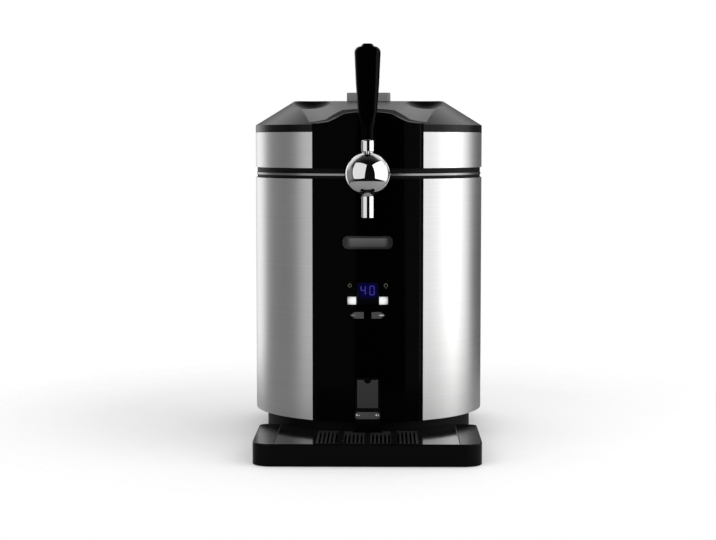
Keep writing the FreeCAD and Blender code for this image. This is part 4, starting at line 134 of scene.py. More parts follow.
# %% The finish class
class Finish:
    """One material: its node tree, its main shader and the method that adds nodes."""

    def __init__(self, name, **uniform):
        self.material = bpy.data.materials.new(name)
        self.material.use_nodes = True
        self.tree = self.material.node_tree
        self.shader = self.tree.nodes["Principled BSDF"]
        for socket, value in uniform.items():
            self.shader.inputs[socket.replace("_", " ")].default_value = value

    def add(self, kind, settings=None, sockets=None, output=0):
        node = self.tree.nodes.new(kind)
        for name, value in (settings or {}).items():
            setattr(node, name, value)
        for name, value in (sockets or {}).items():
            if isinstance(value, Signal):
                self.tree.links.new(value.socket, node.inputs[name])
            else:
                node.inputs[name].default_value = value
        return Signal(self, node.outputs[output])

    def feed(self, **links):
        for socket, signal in links.items():
            self.tree.links.new(signal.socket, self.shader.inputs[socket.replace("_", " ")])

    def place(self, stretch=(1, 1, 1), turn=(0, 0, 0)):
        """Object coordinates in metres, stretched and turned for one pattern."""
        point = self.add("ShaderNodeTexCoord", output="Object")
        return self.add("ShaderNodeMapping", None, {"Vector": point, "Scale": stretch, "Rotation": turn})

    def axis(self, letter):
        point = self.add("ShaderNodeTexCoord", output="Object")
        return self.add("ShaderNodeSeparateXYZ", None, {"Vector": point}, output=letter)

    def noise(self, scale, stretch=(1, 1, 1), detail=2.0, roughness=0.5):
        sockets = {"Vector": self.place(stretch), "Scale": scale, "Detail": detail, "Roughness": roughness}
        return self.add("ShaderNodeTexNoise", None, sockets)

    def cells(self, scale):
        sockets = {"Vector": self.place(), "Scale": scale}
        return self.add("ShaderNodeTexVoronoi", {"feature": "F1"}, sockets)

    def blend(self, mask, dark, light):
        """A colour between two, by a mask. Either colour may itself be a signal."""
        sockets = {0: mask, 6: dark, 7: light}
        return self.add("ShaderNodeMix", {"data_type": "RGBA"}, sockets, output=2)

    def relief(self, height, depth, strength=1.0):
        """Turns a height signal into bumps that deep, in metres, for the shader's Normal."""
        self.feed(Normal=self.add("ShaderNodeBump", None,
                                  {"Height": height, "Distance": depth, "Strength": strength}))


def grey(level, warm=0.0):
    """An opaque grey; warm tips it towards yellow, and a negative one towards blue."""
    return (level * (1 + warm), level, level * (1 - warm), 1.0)


FINISHES = {}


def keep(finish_name, finish):
    FINISHES[finish_name] = finish.material
    print("finish", finish_name, len(finish.tree.nodes), "nodes")


print("a middle grey is", grey(0.18))

# %% [markdown]
# ## Brushed stainless steel
# The side panels and the lid's bands are thin sheet, brushed along its length before it was bent, so the
# grain runs level round the machine. A noise that is stretched flat, very fine in height and slow
# sideways, gives scratches of uneven length. They vary the roughness most, the colour a little and the
# relief hardly at all. Anisotropy draws the highlight out upright, across the grain.

# %% Brushed steel
def brushed_steel(name, base, roughness, stretch, rotation):
    steel = Finish(name, Metallic=1.0, Anisotropic=0.45, Anisotropic_Rotation=rotation)
    fine = steel.noise(1.0, stretch, detail=3.0, roughness=0.6)
    long_way = tuple(value * 0.35 for value in stretch)
    coarse = steel.noise(1.0, long_way, detail=2.0)
    cloud = steel.noise(7.0, detail=1.0)
    grain = fine * 0.65 + coarse * 0.35
    steel.feed(
        Base_Color=steel.blend(grain.step(0.3, 0.7), grey(base * 0.90, 0.004), grey(base * 1.06, 0.004)),
        Roughness=roughness + (grain - 0.5) * 0.10 + (cloud - 0.5) * 0.05)
    steel.relief(grain, 0.000008, 0.4)
    return steel


keep("brushed_steel", brushed_steel("brushed_steel", 0.62, 0.38, (5, 5, 3600), 0.25))

# %% [markdown]
# ## Piano-black plastic
# Column, fascia, lid and tray are injection-moulded ABS out of polished moulds. Up close such a surface is
# not perfect: it ripples over a few millimetres, and fingers leave faint clouds that are only seen in the
# reflections. Both live in the roughness and in a very shallow relief. The colour itself is nearly
# black, so a low specular level keeps the front deep.

# %% Black plastics
def gloss_plastic(name, base, roughness, specular, ripple=0.00002):
    plastic = Finish(name, Specular_IOR_Level=specular)
    cloud = plastic.noise(16.0, detail=3.0, roughness=0.65)
    smear = plastic.noise(5.0, (1, 1, 0.35), detail=2.0)
    speck = plastic.noise(2400.0, detail=1.0)
    touched = cloud.step(0.45, 0.75) * smear.step(0.4, 0.7)
    plastic.feed(
        Base_Color=plastic.blend(speck, grey(base * 0.85), grey(base * 1.15)),
        Roughness=roughness + touched * 0.05 + (cloud - 0.5) * 0.02)
    plastic.relief(plastic.noise(190.0, detail=1.0), ripple, 0.5)
    return plastic


keep("column_black", gloss_plastic("column_black", 0.0004, 0.08, 0.018))
keep("lid_black", gloss_plastic("lid_black", 0.0020, 0.27, 0.12))
keep("tray_black", gloss_plastic("tray_black", 0.0008, 0.20, 0.12))

# %% [markdown]
# ## Grained plastic
# Housings that nobody is meant to look at come from spark-eroded moulds: a matte skin of tiny random pits.
# Cell noise at under half a millimetre gives the pits, and a finer noise breaks them up. The ridges
# between the pits catch dust, so they are a shade lighter.

# %% Grained plastics
def grained_plastic(name, base, roughness, pit=0.00006, scale=2300.0, specular=0.4):
    plastic = Finish(name, Specular_IOR_Level=specular)
    pits = plastic.cells(scale)
    fine = plastic.noise(5200.0, detail=2.0)
    cloud = plastic.noise(11.0, detail=2.0)
    grain = pits.step(0.1, 0.8) * 0.7 + fine * 0.3
    plastic.feed(
        Base_Color=plastic.blend(grain * 0.7 + cloud * 0.3, grey(base * 0.75), grey(base * 1.3)),
        Roughness=roughness + (grain - 0.5) * 0.12 + (cloud - 0.5) * 0.06)
    plastic.relief(grain, pit, 0.45)
    return plastic


keep("matte_black_plastic", grained_plastic("matte_black_plastic", 0.0020, 0.50, specular=0.08))
keep("grey_plastic", grained_plastic("grey_plastic", 0.022, 0.42, pit=0.00002, scale=3200.0))
keep("key_grey", grained_plastic("key_grey", 0.042, 0.40, pit=0.00002, scale=3200.0))
keep("button_grey", grained_plastic("button_grey", 0.16, 0.34, pit=0.00002, scale=3200.0))
keep("rubber", grained_plastic("rubber", 0.014, 0.82, pit=0.00004, scale=1500.0, specular=0.25))

# %% [markdown]
# ## The bare badge
# Between display and tap sits a small oval plate of smoked metal. Its sunk field has a painted sheen:
# painted highlight at the top, painted shade at the foot and towards both round ends, as polished metal
# looks under a lamp, while the rim round it stays nearly black. Masks across the plate's own width and
# height paint all of it into the colour.

# %% Badge
low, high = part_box("badge_plate")
badge_middle = (low + high) / 2
badge_half = (high - low) / 2

badge = Finish("badge_grey", Specular_IOR_Level=0.35)
aside = abs(badge.axis("X") - badge_middle.x) / badge_half.x
above = (badge.axis("Z") - badge_middle.z) / badge_half.z
# Painted shade as well: the field dims towards both round ends.
field = (1 - aside.step(0.66, 0.84)) * (1 - abs(above).step(0.55, 0.80))
# Painted highlight and painted shade: lighter towards the top of the field, darker at its foot.
painted_sheen = field * (0.45 + above.step(-0.6, 0.5) * 0.55)
pits = badge.cells(3200.0)
badge.feed(Base_Color=badge.blend(painted_sheen * (0.9 + pits * 0.2), grey(0.010), grey(0.078)),
           Roughness=0.32 + pits * 0.08)
badge.relief(pits, 0.00002, 0.4)
keep("badge_grey", badge)

# %% [markdown]
# ## Chrome and bright trim
# The tap is polished brass with a chrome skin. A mirror takes all its looks from what stands round it, so
# the finish itself needs only what gives away a real mirror: faint wiping marks and water haze in
# the roughness.

# %% Chrome
def mirror_metal(name, base, roughness, haze):
    metal = Finish(name, Metallic=1.0)
    wipe = metal.noise(60.0, (1, 1, 0.3), detail=3.0, roughness=0.6)
    spots = metal.cells(420.0)
    metal.feed(
        Base_Color=metal.blend(wipe, grey(base * 0.97), grey(base * 1.02)),
        Roughness=roughness + wipe.step(0.5, 0.8) * haze + (1 - spots.step(0.05, 0.3)) * haze * 0.5)
    metal.relief(metal.noise(150.0, detail=1.0), 0.000008, 0.3)
    return metal


keep("chrome", mirror_metal("chrome", 0.84, 0.035, 0.03))
keep("bright_trim", mirror_metal("bright_trim", 0.27, 0.30, 0.02))
keep("catch_chrome", mirror_metal("catch_chrome", 0.24, 0.30, 0.06))

# %% [markdown]
# ## Plated steel and aluminium
# Screws, pins and the latch are zinc plated: a cool, slightly blotched grey. Heat sink and keg chamber are
# plain aluminium, drawn or extruded, with draw lines that run upright.

# %% Plated steel and aluminium
def plated_metal(name, base, roughness, warm, stretch):
    metal = Finish(name, Metallic=1.0)
    blotch = metal.cells(260.0)
    lines = metal.noise(1.0, stretch, detail=2.0)
    shade = blotch.step(0.0, 0.8) * 0.5 + lines * 0.5
    metal.feed(
        Base_Color=metal.blend(shade, grey(base * 0.8, warm), grey(base * 1.12, warm)),
        Roughness=roughness + (shade - 0.5) * 0.2)
    metal.relief(lines, 0.00001, 0.4)
    return metal


keep("zinc_steel", plated_metal("zinc_steel", 0.52, 0.36, -0.015, (400, 400, 400)))
keep("aluminium", plated_metal("aluminium", 0.66, 0.38, 0.0, (900, 900, 9)))

# %% [markdown]
# ## What is seen with the lid open or through the vents
# Foam, circuit boards and the ceramic cooling plate are half hidden, but the lid opens. Foam is a froth of
# closed cells. A board is green lacquer over copper tracks, here a fine brick pattern turned so that
# its joints read as tracks.

# %% Foam, boards and ceramic
foam = Finish("insulation", Roughness=0.9, Specular_IOR_Level=0.2)
froth = foam.cells(700.0)
age = foam.noise(14.0, detail=2.0)
foam.feed(Base_Color=foam.blend(froth.step(0.0, 0.7) * 0.6 + age * 0.4,
                                (0.62, 0.54, 0.34, 1), (0.88, 0.83, 0.66, 1)))
foam.relief(froth, 0.0002, 0.6)
keep("insulation", foam)

board = Finish("circuit_board", Specular_IOR_Level=0.5)
tracks = board.add("ShaderNodeTexBrick", {"offset": 0.37, "squash": 0.6, "squash_frequency": 3},
                   {"Vector": board.place((1, 1, 1), (math.pi / 2, 0, 0)), "Scale": 210.0,
                    "Mortar Size": 0.06, "Mortar Smooth": 0.1, "Bias": 0.0}, output="Fac")
board.feed(Base_Color=board.blend(tracks, (0.012, 0.10, 0.035, 1), (0.05, 0.24, 0.10, 1)),
           Roughness=0.35 + board.noise(300.0) * 0.15)
board.relief(tracks, 0.00004, 0.5)
keep("circuit_board", board)

ceramic = Finish("ceramic", Specular_IOR_Level=0.4)
chalk = ceramic.noise(900.0, detail=3.0)
ceramic.feed(Base_Color=ceramic.blend(chalk, grey(0.72, 0.01), grey(0.86, 0.01)),
             Roughness=0.6 + chalk * 0.2)
ceramic.relief(chalk, 0.00002, 0.4)
keep("ceramic", ceramic)

# %% [markdown]
# ## The lit display
# A smoked window covers the blue digits, and the light leaks a little, so the window glows faintly where
# the digits are and is black at its edges. The two square keys are milky and lit from behind: brightest
# over their lamp, which sits towards the window, and weaker towards the outer corners.

# %% Display window and lit keys
DIGIT_HEIGHT = 0.1905
GLOW_ACROSS = 0.0135
GLOW_UP = 0.0105

window = Finish("display_window", Base_Color=grey(0.001), Roughness=0.07, Emission_Strength=1.0)
across = window.axis("X")
up = window.axis("Z")
spread = ((across / GLOW_ACROSS) ** 4.0 + ((up - DIGIT_HEIGHT) / GLOW_UP) ** 4.0) ** 0.5
leak = (1 - spread.step(0.15, 1.0)) * (0.75 + window.noise(900.0) * 0.5)
window.feed(Emission_Color=window.blend(leak, (0.0003, 0.0003, 0.001, 1), (0.0012, 0.0006, 0.040, 1)))
keep("display_window", window)


KEY_GLOW_ACROSS = 0.0075
KEY_GLOW_UP = 0.0062
LAMP_SHARE = 0.91


def lit_key(name, lamp_x, lamp_z):
    key = Finish(name, Base_Color=grey(0.12), Roughness=0.35, Emission_Strength=1.0)
    aside = abs(key.axis("X") - lamp_x) / KEY_GLOW_ACROSS
    above = abs(key.axis("Z") - lamp_z) / KEY_GLOW_UP
    fall = (aside ** 2.0 + above ** 2.0).step(0.12, 1.0)
    milk = key.noise(1500.0, detail=2.0)
    key.feed(Emission_Color=key.blend(fall * 0.8 + milk * 0.2, grey(0.86, -0.01), grey(0.08, -0.01)))
    key.relief(milk, 0.00001, 0.3)
    keep(name, key)


for key_node in ("power_key", "light_key"):
    low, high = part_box(key_node)
    lit_key(key_node, (low.x + high.x) / 2 * LAMP_SHARE, (low.z + high.z) / 2)

# %% [markdown]
# ## The drip grille
# The top plate of the tray is polished, but its four slotted fields are left matte, to hide scratches
# from glasses, and so are its two outer ends, where fingers lift it. One finish does both: masks across
# the plate switch the roughness and lift the colour.

# %% Drip grille
FIELD_EDGES = ((-0.0575, -0.0335), (-0.0270, -0.0032), (0.0032, 0.0270), (0.0335, 0.0575))
FIELD_FRONT = -0.2105
FIELD_REAR = -0.1275
END_FROM = 0.1025
FIELD_FADE = 0.0006
END_FADE = 0.0015

grille = Finish("grille_black", Specular_IOR_Level=0.35)
side = grille.axis("X")
run = grille.axis("Y").inside(FIELD_FRONT, FIELD_REAR, FIELD_FADE)
masks = [side.inside(left, right, FIELD_FADE) for left, right in FIELD_EDGES]
fields = sum(masks[1:], masks[0]) * run
ends = abs(side).step(END_FROM, END_FROM + END_FADE)
pits = grille.cells(2400.0)
cloud = grille.noise(20.0, detail=2.0)
matte = fields + ends
grille.feed(Base_Color=grille.blend(matte, grey(0.005), grey(0.020)),
            Roughness=0.10 + fields * 0.36 + ends * 0.55 + (cloud - 0.5) * 0.03)
grille.relief(pits * matte, 0.00004, 0.4)
keep("grille_black", grille)

# %% [markdown]
# ## Dressing the frame
# Each CAD node takes the finish of its material slot, except where one slot covers pieces that were moulded
# or polished differently. Those are listed by name.

# %% Dress the nodes
DRESSED_BY_NAME = {
    "column_black": ("front_column", "lid_fascia", "power_rocker", "tap_handle"),
    "lid_black": ("lid_shell",),
    "tray_black": ("drip_tray", "tray_upstand"),
    "grille_black": ("drip_grille",),
    "button_grey": ("release_button",),
    "badge_grey": ("badge_plate",),
    "key_grey": ("cooler_key", "warmer_key"),
    "catch_chrome": ("catch_bar",),
    "power_key": ("power_key",),
    "light_key": ("light_key",),
}


def finish_for(node, slot_name):
    for finish_name, members in DRESSED_BY_NAME.items():
        if node in members:
            return FINISHES[finish_name]
    return FINISHES[slot_name]


for part in frame["record"]["subparts"]:
    node = frame["nodes"][part["node"]]
    dressing = finish_for(part["node"], part["material_slot"])
    if not node.material_slots:
        node.data.materials.append(dressing)
    for material_slot in node.material_slots:
        material_slot.material = dressing

# %% [markdown]
# ## Shaping by hand, in code
# The pieces that follow are modelled with the same tools as by hand: a primitive, some faces selected,
# then inset, move or spin. Only the selecting differs, since no mouse points at a face: it is
# told apart by where its middle lies and which way it looks. Every piece here looks towards -Y.

# %% Selecting and raising
SMOOTH_ANGLE = 35


def alone(piece):
    """Select one piece and nothing else."""
    bpy.ops.object.select_all(action="DESELECT")
    piece.select_set(True)
    bpy.context.view_layer.objects.active = piece


def pick(piece, test):
    """Edit mode, with the faces selected whose middle and normal pass the test."""
    bpy.ops.object.mode_set(mode="EDIT")
    bpy.ops.mesh.select_mode(type="FACE")
    bpy.ops.mesh.select_all(action="DESELECT")
    bpy.ops.object.mode_set(mode="OBJECT")
    for face in piece.data.polygons:
        face.select = test(face.center, face.normal)
    bpy.ops.object.mode_set(mode="EDIT")


def front(middle, normal):
    return normal.y < -0.9


def raise_front(piece, inset, rise):
    """Draw the front face in and lift it, so that the piece gets a sloping edge all round."""
    pick(piece, front)
    bpy.ops.mesh.inset(thickness=inset, depth=0)
    bpy.ops.transform.translate(value=(0, -rise, 0))
    bpy.ops.object.mode_set(mode="OBJECT")


print("smooth below", SMOOTH_ANGLE, "degrees")

# %% [markdown]
# A piece that repeats is modelled once and copied, and some pieces are joined out of several. Each is made
# flat at the origin, where it is easy to shape, and then carried to its place. The move ends up in the
# mesh, not in the object, so that the patterns of its finish stay where they are.

# %% Copying, joining and placing
def copy_of(piece, name):
    alone(piece)
    bpy.ops.object.duplicate(linked=False)
    twin = bpy.context.object
    twin.name = name
    return twin


def join(members, name):
    """Make one piece of several."""
    alone(members[0])
    for member in members[1:]:
        member.select_set(True)
    bpy.ops.object.join()
    whole = bpy.context.object
    whole.name = name
    return whole


def settle(piece, place=(0, 0, 0), turn=(0, 0, 0)):
    """Move and turn a piece about the origin, and put the result into its mesh."""
    alone(piece)
    piece.location = place
    piece.rotation_euler = turn
    bpy.ops.object.transform_apply(location=True, rotation=True, scale=True)


def lay_on_column(piece, radius, across, height):
    """Carry a flat piece from the origin to the column's round face, and turn it to lie on it."""
    settle(piece, place=(0, -radius, height))
    settle(piece, turn=(0, 0, math.asin(across / radius)))


def dress(piece, body, finish_name):
    """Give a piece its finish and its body."""
    alone(piece)
    bpy.ops.object.shade_smooth_by_angle(angle=math.radians(SMOOTH_ANGLE))
    piece.data.name = piece.name
    piece.data.materials.clear()
    piece.data.materials.append(FINISHES[finish_name])
    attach(piece, body)
    print("piece", piece.name, len(piece.data.polygons), "faces on", body)


PRINT_DEPTH = 0.0003
PRINT_RISE = 0.00006
print("prints are", PRINT_DEPTH * 1000, "mm thick and stand out by", PRINT_RISE * 1000, "mm")

# %% [markdown]
# ## The blue digits
# Two digits glow in the window. On the real machine they lie behind smoked plastic. Here they are laid on
# its face like a thin print, so that they show without a clear pane. A stroke is a bar with a point at
# both ends, so that neighbours meet at a slant with a thin dark line between them. It starts as a
# six-sided disc that stands on a corner: its upper half is drawn up and its lower half down. All ten
# lit strokes are copies of that one.

# %% One stroke
COLUMN_FACE = 0.1392
WINDOW_FACE = 0.1391
STROKE_WIDTH = 0.00115
STROKE_LENGTH = 0.0050
STROKE_GAP = 0.00028
STROKE_SLOPE = (0.00015, 0.00005)

digit_blue = Finish("digit_blue", Base_Color=grey(0.01), Roughness=0.3, Emission_Strength=1.0)
shimmer = digit_blue.noise(1800.0, detail=1.0)
digit_blue.feed(Emission_Color=digit_blue.blend(shimmer, (0.012, 0.008, 0.18, 1), (0.034, 0.027, 0.32, 1)))
digit_blue.relief(shimmer, 0.00001, 0.3)
keep("digit_blue", digit_blue)

corner_radius = STROKE_WIDTH / 2 / math.cos(math.pi / 6)
bpy.ops.object.select_all(action="DESELECT")
bpy.ops.mesh.primitive_cylinder_add(vertices=6, radius=corner_radius, depth=PRINT_DEPTH,
                                    rotation=(math.pi / 2, 0, 0))
upright_stroke = bpy.context.object
settle(upright_stroke, turn=upright_stroke.rotation_euler)
reach = (STROKE_LENGTH - STROKE_GAP) / 2 - corner_radius
for way in (1, -1):
    pick(upright_stroke, lambda middle, normal: normal.z * way > 0.3)
    bpy.ops.transform.translate(value=(0, 0, reach * way))
    bpy.ops.object.mode_set(mode="OBJECT")
raise_front(upright_stroke, *STROKE_SLOPE)
print("stroke", [round(v * 1000, 2) for v in upright_stroke.dimensions], "mm")

# %% Two digits
STROKES = {
    "a": (0, 1, True), "b": (0.5, 0.5, False), "c": (0.5, -0.5, False), "d": (0, -1, True),
    "e": (-0.5, -0.5, False), "f": (-0.5, 0.5, False), "g": (0, 0, True),
}
DIGIT_AWAY = 0.0051
DIGITS = {"digit_left": ("fgbc", -DIGIT_AWAY), "digit_right": ("abcdef", DIGIT_AWAY)}

for name, (lit, across) in DIGITS.items():
    strokes = []
    for letter in lit:
        x, z, level = STROKES[letter]
        stroke = copy_of(upright_stroke, name + "_" + letter)
        if level:
            settle(stroke, turn=(0, math.pi / 2, 0))
        settle(stroke, place=(x * STROKE_LENGTH, 0, z * STROKE_LENGTH))
        strokes.append(stroke)
    digit = join(strokes, name)
    lay_on_column(digit, WINDOW_FACE + PRINT_RISE - PRINT_DEPTH / 2, across, DIGIT_HEIGHT)
    dress(digit, "cabinet", "digit_blue")
bpy.data.objects.remove(upright_stroke)

# %% [markdown]
# ## Printed signs
# Above each lit key a small sign says what it does: a broken ring with a bar for power, a bulb for the
# light. Both use one ring with a gap. It is made by spin, which carries a small rectangle round a centre,
# and the bulb is the same ring upside down on two short bars.

# %% Ring and bars
sign_ink = Finish("sign_ink", Roughness=0.55, Specular_IOR_Level=0.3)
dots = sign_ink.cells(5200.0)
sign_ink.feed(Base_Color=sign_ink.blend(dots, (0.050, 0.050, 0.030, 1), (0.095, 0.095, 0.060, 1)))
sign_ink.relief(dots, 0.00001, 0.4)
keep("sign_ink", sign_ink)

SIGN_RADIUS = 0.0019
SIGN_WIDTH = 0.00075
RING_STEPS = 26
BAR_INSET, BAR_RISE = 0.18, 0.15


def ring_with_gap(gap):
    """A flat ring round the Y axis, open at its top by that angle."""
    bpy.ops.object.select_all(action="DESELECT")
    bpy.ops.mesh.primitive_plane_add(size=1, rotation=(0, math.pi / 2, 0))
    ring = bpy.context.object
    ring.scale = (SIGN_WIDTH, PRINT_DEPTH, 1)
    bpy.ops.object.transform_apply(location=True, rotation=True, scale=True)
    settle(ring, place=(0, 0, SIGN_RADIUS))
    bpy.ops.object.mode_set(mode="EDIT")
    bpy.ops.mesh.select_all(action="SELECT")
    bpy.ops.mesh.spin(steps=RING_STEPS, angle=2 * math.pi - gap, center=(0, 0, 0), axis=(0, 1, 0))
    bpy.ops.mesh.select_all(action="SELECT")
    bpy.ops.mesh.remove_doubles(threshold=0.00001)
    bpy.ops.mesh.fill_holes(sides=4)
    bpy.ops.mesh.normals_make_consistent(inside=False)
    bpy.ops.object.mode_set(mode="OBJECT")
    settle(ring, turn=(0, -gap / 2, 0))
    return ring


def short_bar(length, height, thick=PRINT_DEPTH):
    """A level bar whose front edges are sloped."""
    bpy.ops.object.select_all(action="DESELECT")
    bpy.ops.mesh.primitive_cube_add(size=1)
    bar = bpy.context.object
    bar.scale = (length, thick, height)
    bpy.ops.object.transform_apply(location=True, rotation=True, scale=True)
    raise_front(bar, height * BAR_INSET, thick * BAR_RISE)
    return bar


print("a sign's ring is", SIGN_RADIUS * 2000, "mm across")

# %% Power and light signs
SIGN_HEIGHT = 0.1962
SIGN_GAP = math.radians(75)
POWER_AWAY = -0.0205
LIGHT_AWAY = 0.0209

power_bar = short_bar(SIGN_WIDTH, SIGN_RADIUS * 1.3)
settle(power_bar, place=(0, 0, SIGN_RADIUS * 0.8))
power_sign = join([ring_with_gap(SIGN_GAP), power_bar], "power_sign")

bulb = ring_with_gap(SIGN_GAP)
settle(bulb, turn=(0, math.pi, 0))
thread = short_bar(SIGN_RADIUS, SIGN_WIDTH * 0.7)
tip = short_bar(SIGN_RADIUS * 0.7, SIGN_WIDTH * 0.7)
settle(thread, place=(0, 0, -SIGN_RADIUS * 1.25))
settle(tip, place=(0, 0, -SIGN_RADIUS * 1.7))
light_sign = join([bulb, thread, tip], "light_sign")

for sign, across in ((power_sign, POWER_AWAY), (light_sign, LIGHT_AWAY)):
    lay_on_column(sign, COLUMN_FACE + PRINT_RISE - PRINT_DEPTH / 2, across, SIGN_HEIGHT)
    dress(sign, "cabinet", "sign_ink")

# %% [markdown]
# ## Ribs on the arrow keys
# Each arrow key has a small raised rib near its tip, so that a finger finds it without looking. The right
# one is painted white. A rib sinks a little into its key and rides on it, so it goes in with the key
# when that is pressed.

# %% Key ribs
def paint(name, level):
    coat = Finish(name, Roughness=0.4, Specular_IOR_Level=0.4)
    dots = coat.cells(4200.0)
    coat.feed(Base_Color=coat.blend(dots, grey(level * 0.8), grey(level * 1.2)))
    coat.relief(dots, 0.00001, 0.4)
    keep(name, coat)


paint("rib_white", 0.38)
paint("rib_grey", 0.11)

RIB_HEIGHT = 0.16175
RIB_AWAY = 0.0158
RIB_RISE = 0.0002
RIB_SIZE = (0.0052, 0.0013, 0.0006)
RIBS = {
    "cooler_key_rib": ("key_cooler", -RIB_AWAY, "rib_grey"),
    "warmer_key_rib": ("key_warmer", RIB_AWAY, "rib_white"),
}

key_rib = short_bar(*RIB_SIZE)
for name, (body, across, finish_name) in RIBS.items():
    rib = copy_of(key_rib, name)
    lay_on_column(rib, COLUMN_FACE + RIB_RISE, across, RIB_HEIGHT)
    dress(rib, body, finish_name)
bpy.data.objects.remove(key_rib)

# %% [markdown]
# ## Rivets of the catch
# Two bright rivets hold the dark catch bar to the tray's upstand. A rivet's head is a short disc whose
# front is drawn in twice, a little further out each time, which rounds it like a shallow dome.

# %% Catch rivets
RIVET_RADIUS = 0.0019
RIVET_HEIGHT = 0.0012
RIVET_AWAY = 0.0112
RIVET_SINK = 0.0002
DOME_INSETS = (0.28, 0.38)
DOME_RISE = 0.42

low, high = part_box("catch_bar")
bpy.ops.object.select_all(action="DESELECT")
bpy.ops.mesh.primitive_cylinder_add(vertices=28, radius=RIVET_RADIUS, depth=RIVET_HEIGHT,
                                    rotation=(math.pi / 2, 0, 0))
rivet_head = bpy.context.object
settle(rivet_head, turn=rivet_head.rotation_euler)
for inset in DOME_INSETS:
    raise_front(rivet_head, RIVET_RADIUS * inset, RIVET_RADIUS * (DOME_RISE - inset))
for side, name in ((-1, "catch_rivet_left"), (1, "catch_rivet_right")):
    rivet = copy_of(rivet_head, name)
    settle(rivet, place=(side * RIVET_AWAY, low.y + RIVET_SINK, (low.z + high.z) / 2))
    dress(rivet, "tray", "chrome")
bpy.data.objects.remove(rivet_head)

# %% [markdown]
# ## The floor
# The machine stands on a pale paper floor that fades away into the white round it, so that no horizon
# shows. It keeps the soft shadow. Mirrors see another floor: a round grey table that ends less than half
# a metre beyond the machine. Over endless white paper the polished metal would look washed out.

# %% Floor
FLOOR_RADIUS = 4
FLOOR_MIDDLE = 0.15
FLOOR_FADE = (0.34, 0.60)
TABLE_EDGE = 0.66
TABLE_FADE = 0.06
TABLE_GREY = 0.26

bpy.ops.object.select_all(action="DESELECT")
bpy.ops.mesh.primitive_circle_add(vertices=96, radius=FLOOR_RADIUS, fill_type="NGON", location=(0, 0, 0))
floor = bpy.context.object
floor.name = "studio_floor"

ground = Finish("studio_floor", Roughness=0.6, Specular_IOR_Level=0.2)
paper = ground.noise(40.0, detail=2.0)
across = ground.axis("X")
along = ground.axis("Y")
from_middle = (across ** 2.0 + (along - FLOOR_MIDDLE) ** 2.0) ** 0.5
from_object = (across ** 2.0 + along ** 2.0) ** 0.5
glossy = ground.add("ShaderNodeLightPath", output="Is Glossy Ray")
far = (glossy * from_object.step(TABLE_EDGE - TABLE_FADE, TABLE_EDGE)
       + (1 - glossy) * from_middle.step(*FLOOR_FADE))
sheet = ground.blend(paper, grey(0.92), grey(0.94))
ground.feed(Base_Color=ground.blend(glossy, sheet, grey(TABLE_GREY)))
clear = ground.add("ShaderNodeBsdfTransparent")
faded = ground.add("ShaderNodeMixShader", None, {0: far, 2: clear})
ground.tree.links.new(ground.shader.outputs[0], faded.socket.node.inputs[1])
ground.tree.links.new(faded.socket, ground.tree.nodes["Material Output"].inputs["Surface"])
floor.data.materials.append(ground.material)
print("floor radius", FLOOR_RADIUS, "m")

# %% [markdown]
# ## The studio round it
# To the camera the backdrop is white because of the world's colour, not because of more light. Matt
# surfaces get one even level from all round. Mirrors see a dark studio with a few soft shapes in it: a
# dim wall behind the machine, a pale ceiling above that wall for the lid's slopes, and one level glow on
# each side. Without the two glows the steel would go black where it turns away from the lamps.

# %% World
world = bpy.data.worlds.new("studio")
bpy.context.scene.world = world
world.use_nodes = True


class Sky(Finish):
    """The world's node tree, with the same method for adding nodes."""

    def __init__(self, tree):
        self.tree = tree


sky = Sky(world.node_tree)
background = world.node_tree.nodes["Background"]
direction = sky.add("ShaderNodeTexCoord", output="Generated")
depth = sky.add("ShaderNodeSeparateXYZ", None, {"Vector": direction}, output="Y")
height = sky.add("ShaderNodeSeparateXYZ", None, {"Vector": direction}, output="Z")
sideways = sky.add("ShaderNodeSeparateXYZ", None, {"Vector": direction}, output="X")
camera_ray = sky.add("ShaderNodeLightPath", output="Is Camera Ray")
glossy_ray = sky.add("ShaderNodeLightPath", output="Is Glossy Ray")
through_ray = sky.add("ShaderNodeLightPath", output="Is Transmission Ray")

AMBIENT = 0.81
DARK_SIDE = 0.004
WALL = 0.05
CEILING = 0.80
LEFT_NEAR, LEFT_FAR = 0.18, 1.3
RIGHT = 1.5

# Each pair says where a shape fades in, or out, along one axis of the direction that a mirror looks in.
BEHIND = (-0.35, 0.15)
CEILING_FROM, CEILING_TO, CEILING_DEPTH = (0.10, 0.50), (0.84, 0.94), (0.1, 0.4)
LEVEL_TO = (0.26, 0.46)
ASIDE = (0.20, 0.45)
LEFT_NEAR_FROM, LEFT_FAR_FROM = (-0.45, 0.0), (0.55, 0.70)
RIGHT_FROM, RIGHT_TO = (-0.30, 0.15), (0.42, 0.62)

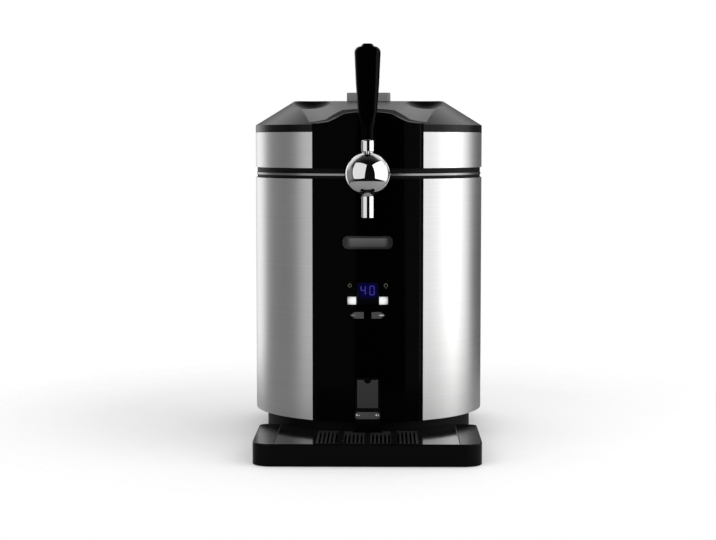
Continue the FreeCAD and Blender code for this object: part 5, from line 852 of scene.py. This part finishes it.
behind = depth.step(*BEHIND)
ceiling = height.step(*CEILING_FROM) * (1 - height.step(*CEILING_TO)) * depth.step(*CEILING_DEPTH)
level_view = 1 - abs(height).step(*LEVEL_TO)
left_glow = depth.step(*LEFT_NEAR_FROM) * LEFT_NEAR + depth.step(*LEFT_FAR_FROM) * LEFT_FAR
to_left = (0 - sideways).step(*ASIDE) * left_glow
to_right = sideways.step(*ASIDE) * depth.step(*RIGHT_FROM) * (1 - depth.step(*RIGHT_TO)) * RIGHT
backdrop = (behind * WALL + (1 - behind) * DARK_SIDE + ceiling * CEILING
            + level_view * (to_left + to_right))
seen = (camera_ray + through_ray).step(0.0, 1.0)
level = seen + (1 - seen) * (glossy_ray * backdrop + (1 - glossy_ray) * AMBIENT)
white = sky.add("ShaderNodeCombineColor", None, {"Red": level, "Green": level, "Blue": level})
world.node_tree.links.new(white.socket, background.inputs["Color"])
print("world", len(world.node_tree.nodes), "nodes")

# %% [markdown]
# ## Soft boxes
# Two large soft boxes stand one each side of the front, with a dark gap between them. Chrome shows them
# as two bright windows, and the black column, which faces the gap, stays black. The right one is
# brighter, so that the round front reads as round. A third hangs behind and above, for the sloping lid.

# %% Soft boxes
def soft_box(name, place, aim, size, level):
    """An area lamp whose face is that bright, so that a mirror shows it at that level."""
    bpy.ops.object.light_add(type="AREA", location=place)
    lamp = bpy.context.object
    lamp.name = name
    lamp.rotation_euler = (Vector(aim) - Vector(place)).to_track_quat("-Z", "Y").to_euler()
    lamp.data.shape = "RECTANGLE"
    lamp.data.size, lamp.data.size_y = size
    lamp.data.energy = level * math.pi * size[0] * size[1]
    lamp.visible_camera = False
    print("lamp", name, round(lamp.data.energy, 1), "W")


def around(azimuth, distance, height):
    """A place at that azimuth from the front of the machine, positive to its right."""
    turn = math.radians(azimuth)
    return (distance * math.sin(turn), -distance * math.cos(turn), height)


AIM = (0, -0.05, 0.30)
LAMP_DISTANCE = 1.6
soft_box("left_box", around(-41, LAMP_DISTANCE, 0.72), AIM, size=(2.0, 2.3), level=0.86)
soft_box("right_box", around(67, LAMP_DISTANCE, 0.68), AIM, size=(2.2, 2.3), level=1.42)
soft_box("top_box", (0, 1.15, 1.25), AIM, size=(2.2, 0.6), level=0.8)

# %% [markdown]
# ## Last settings
# The Standard view transform shows each colour about as it is written.

# %% Colour management
bpy.context.scene.view_settings.view_transform = "Standard"
print("view transform", bpy.context.scene.view_settings.view_transform)
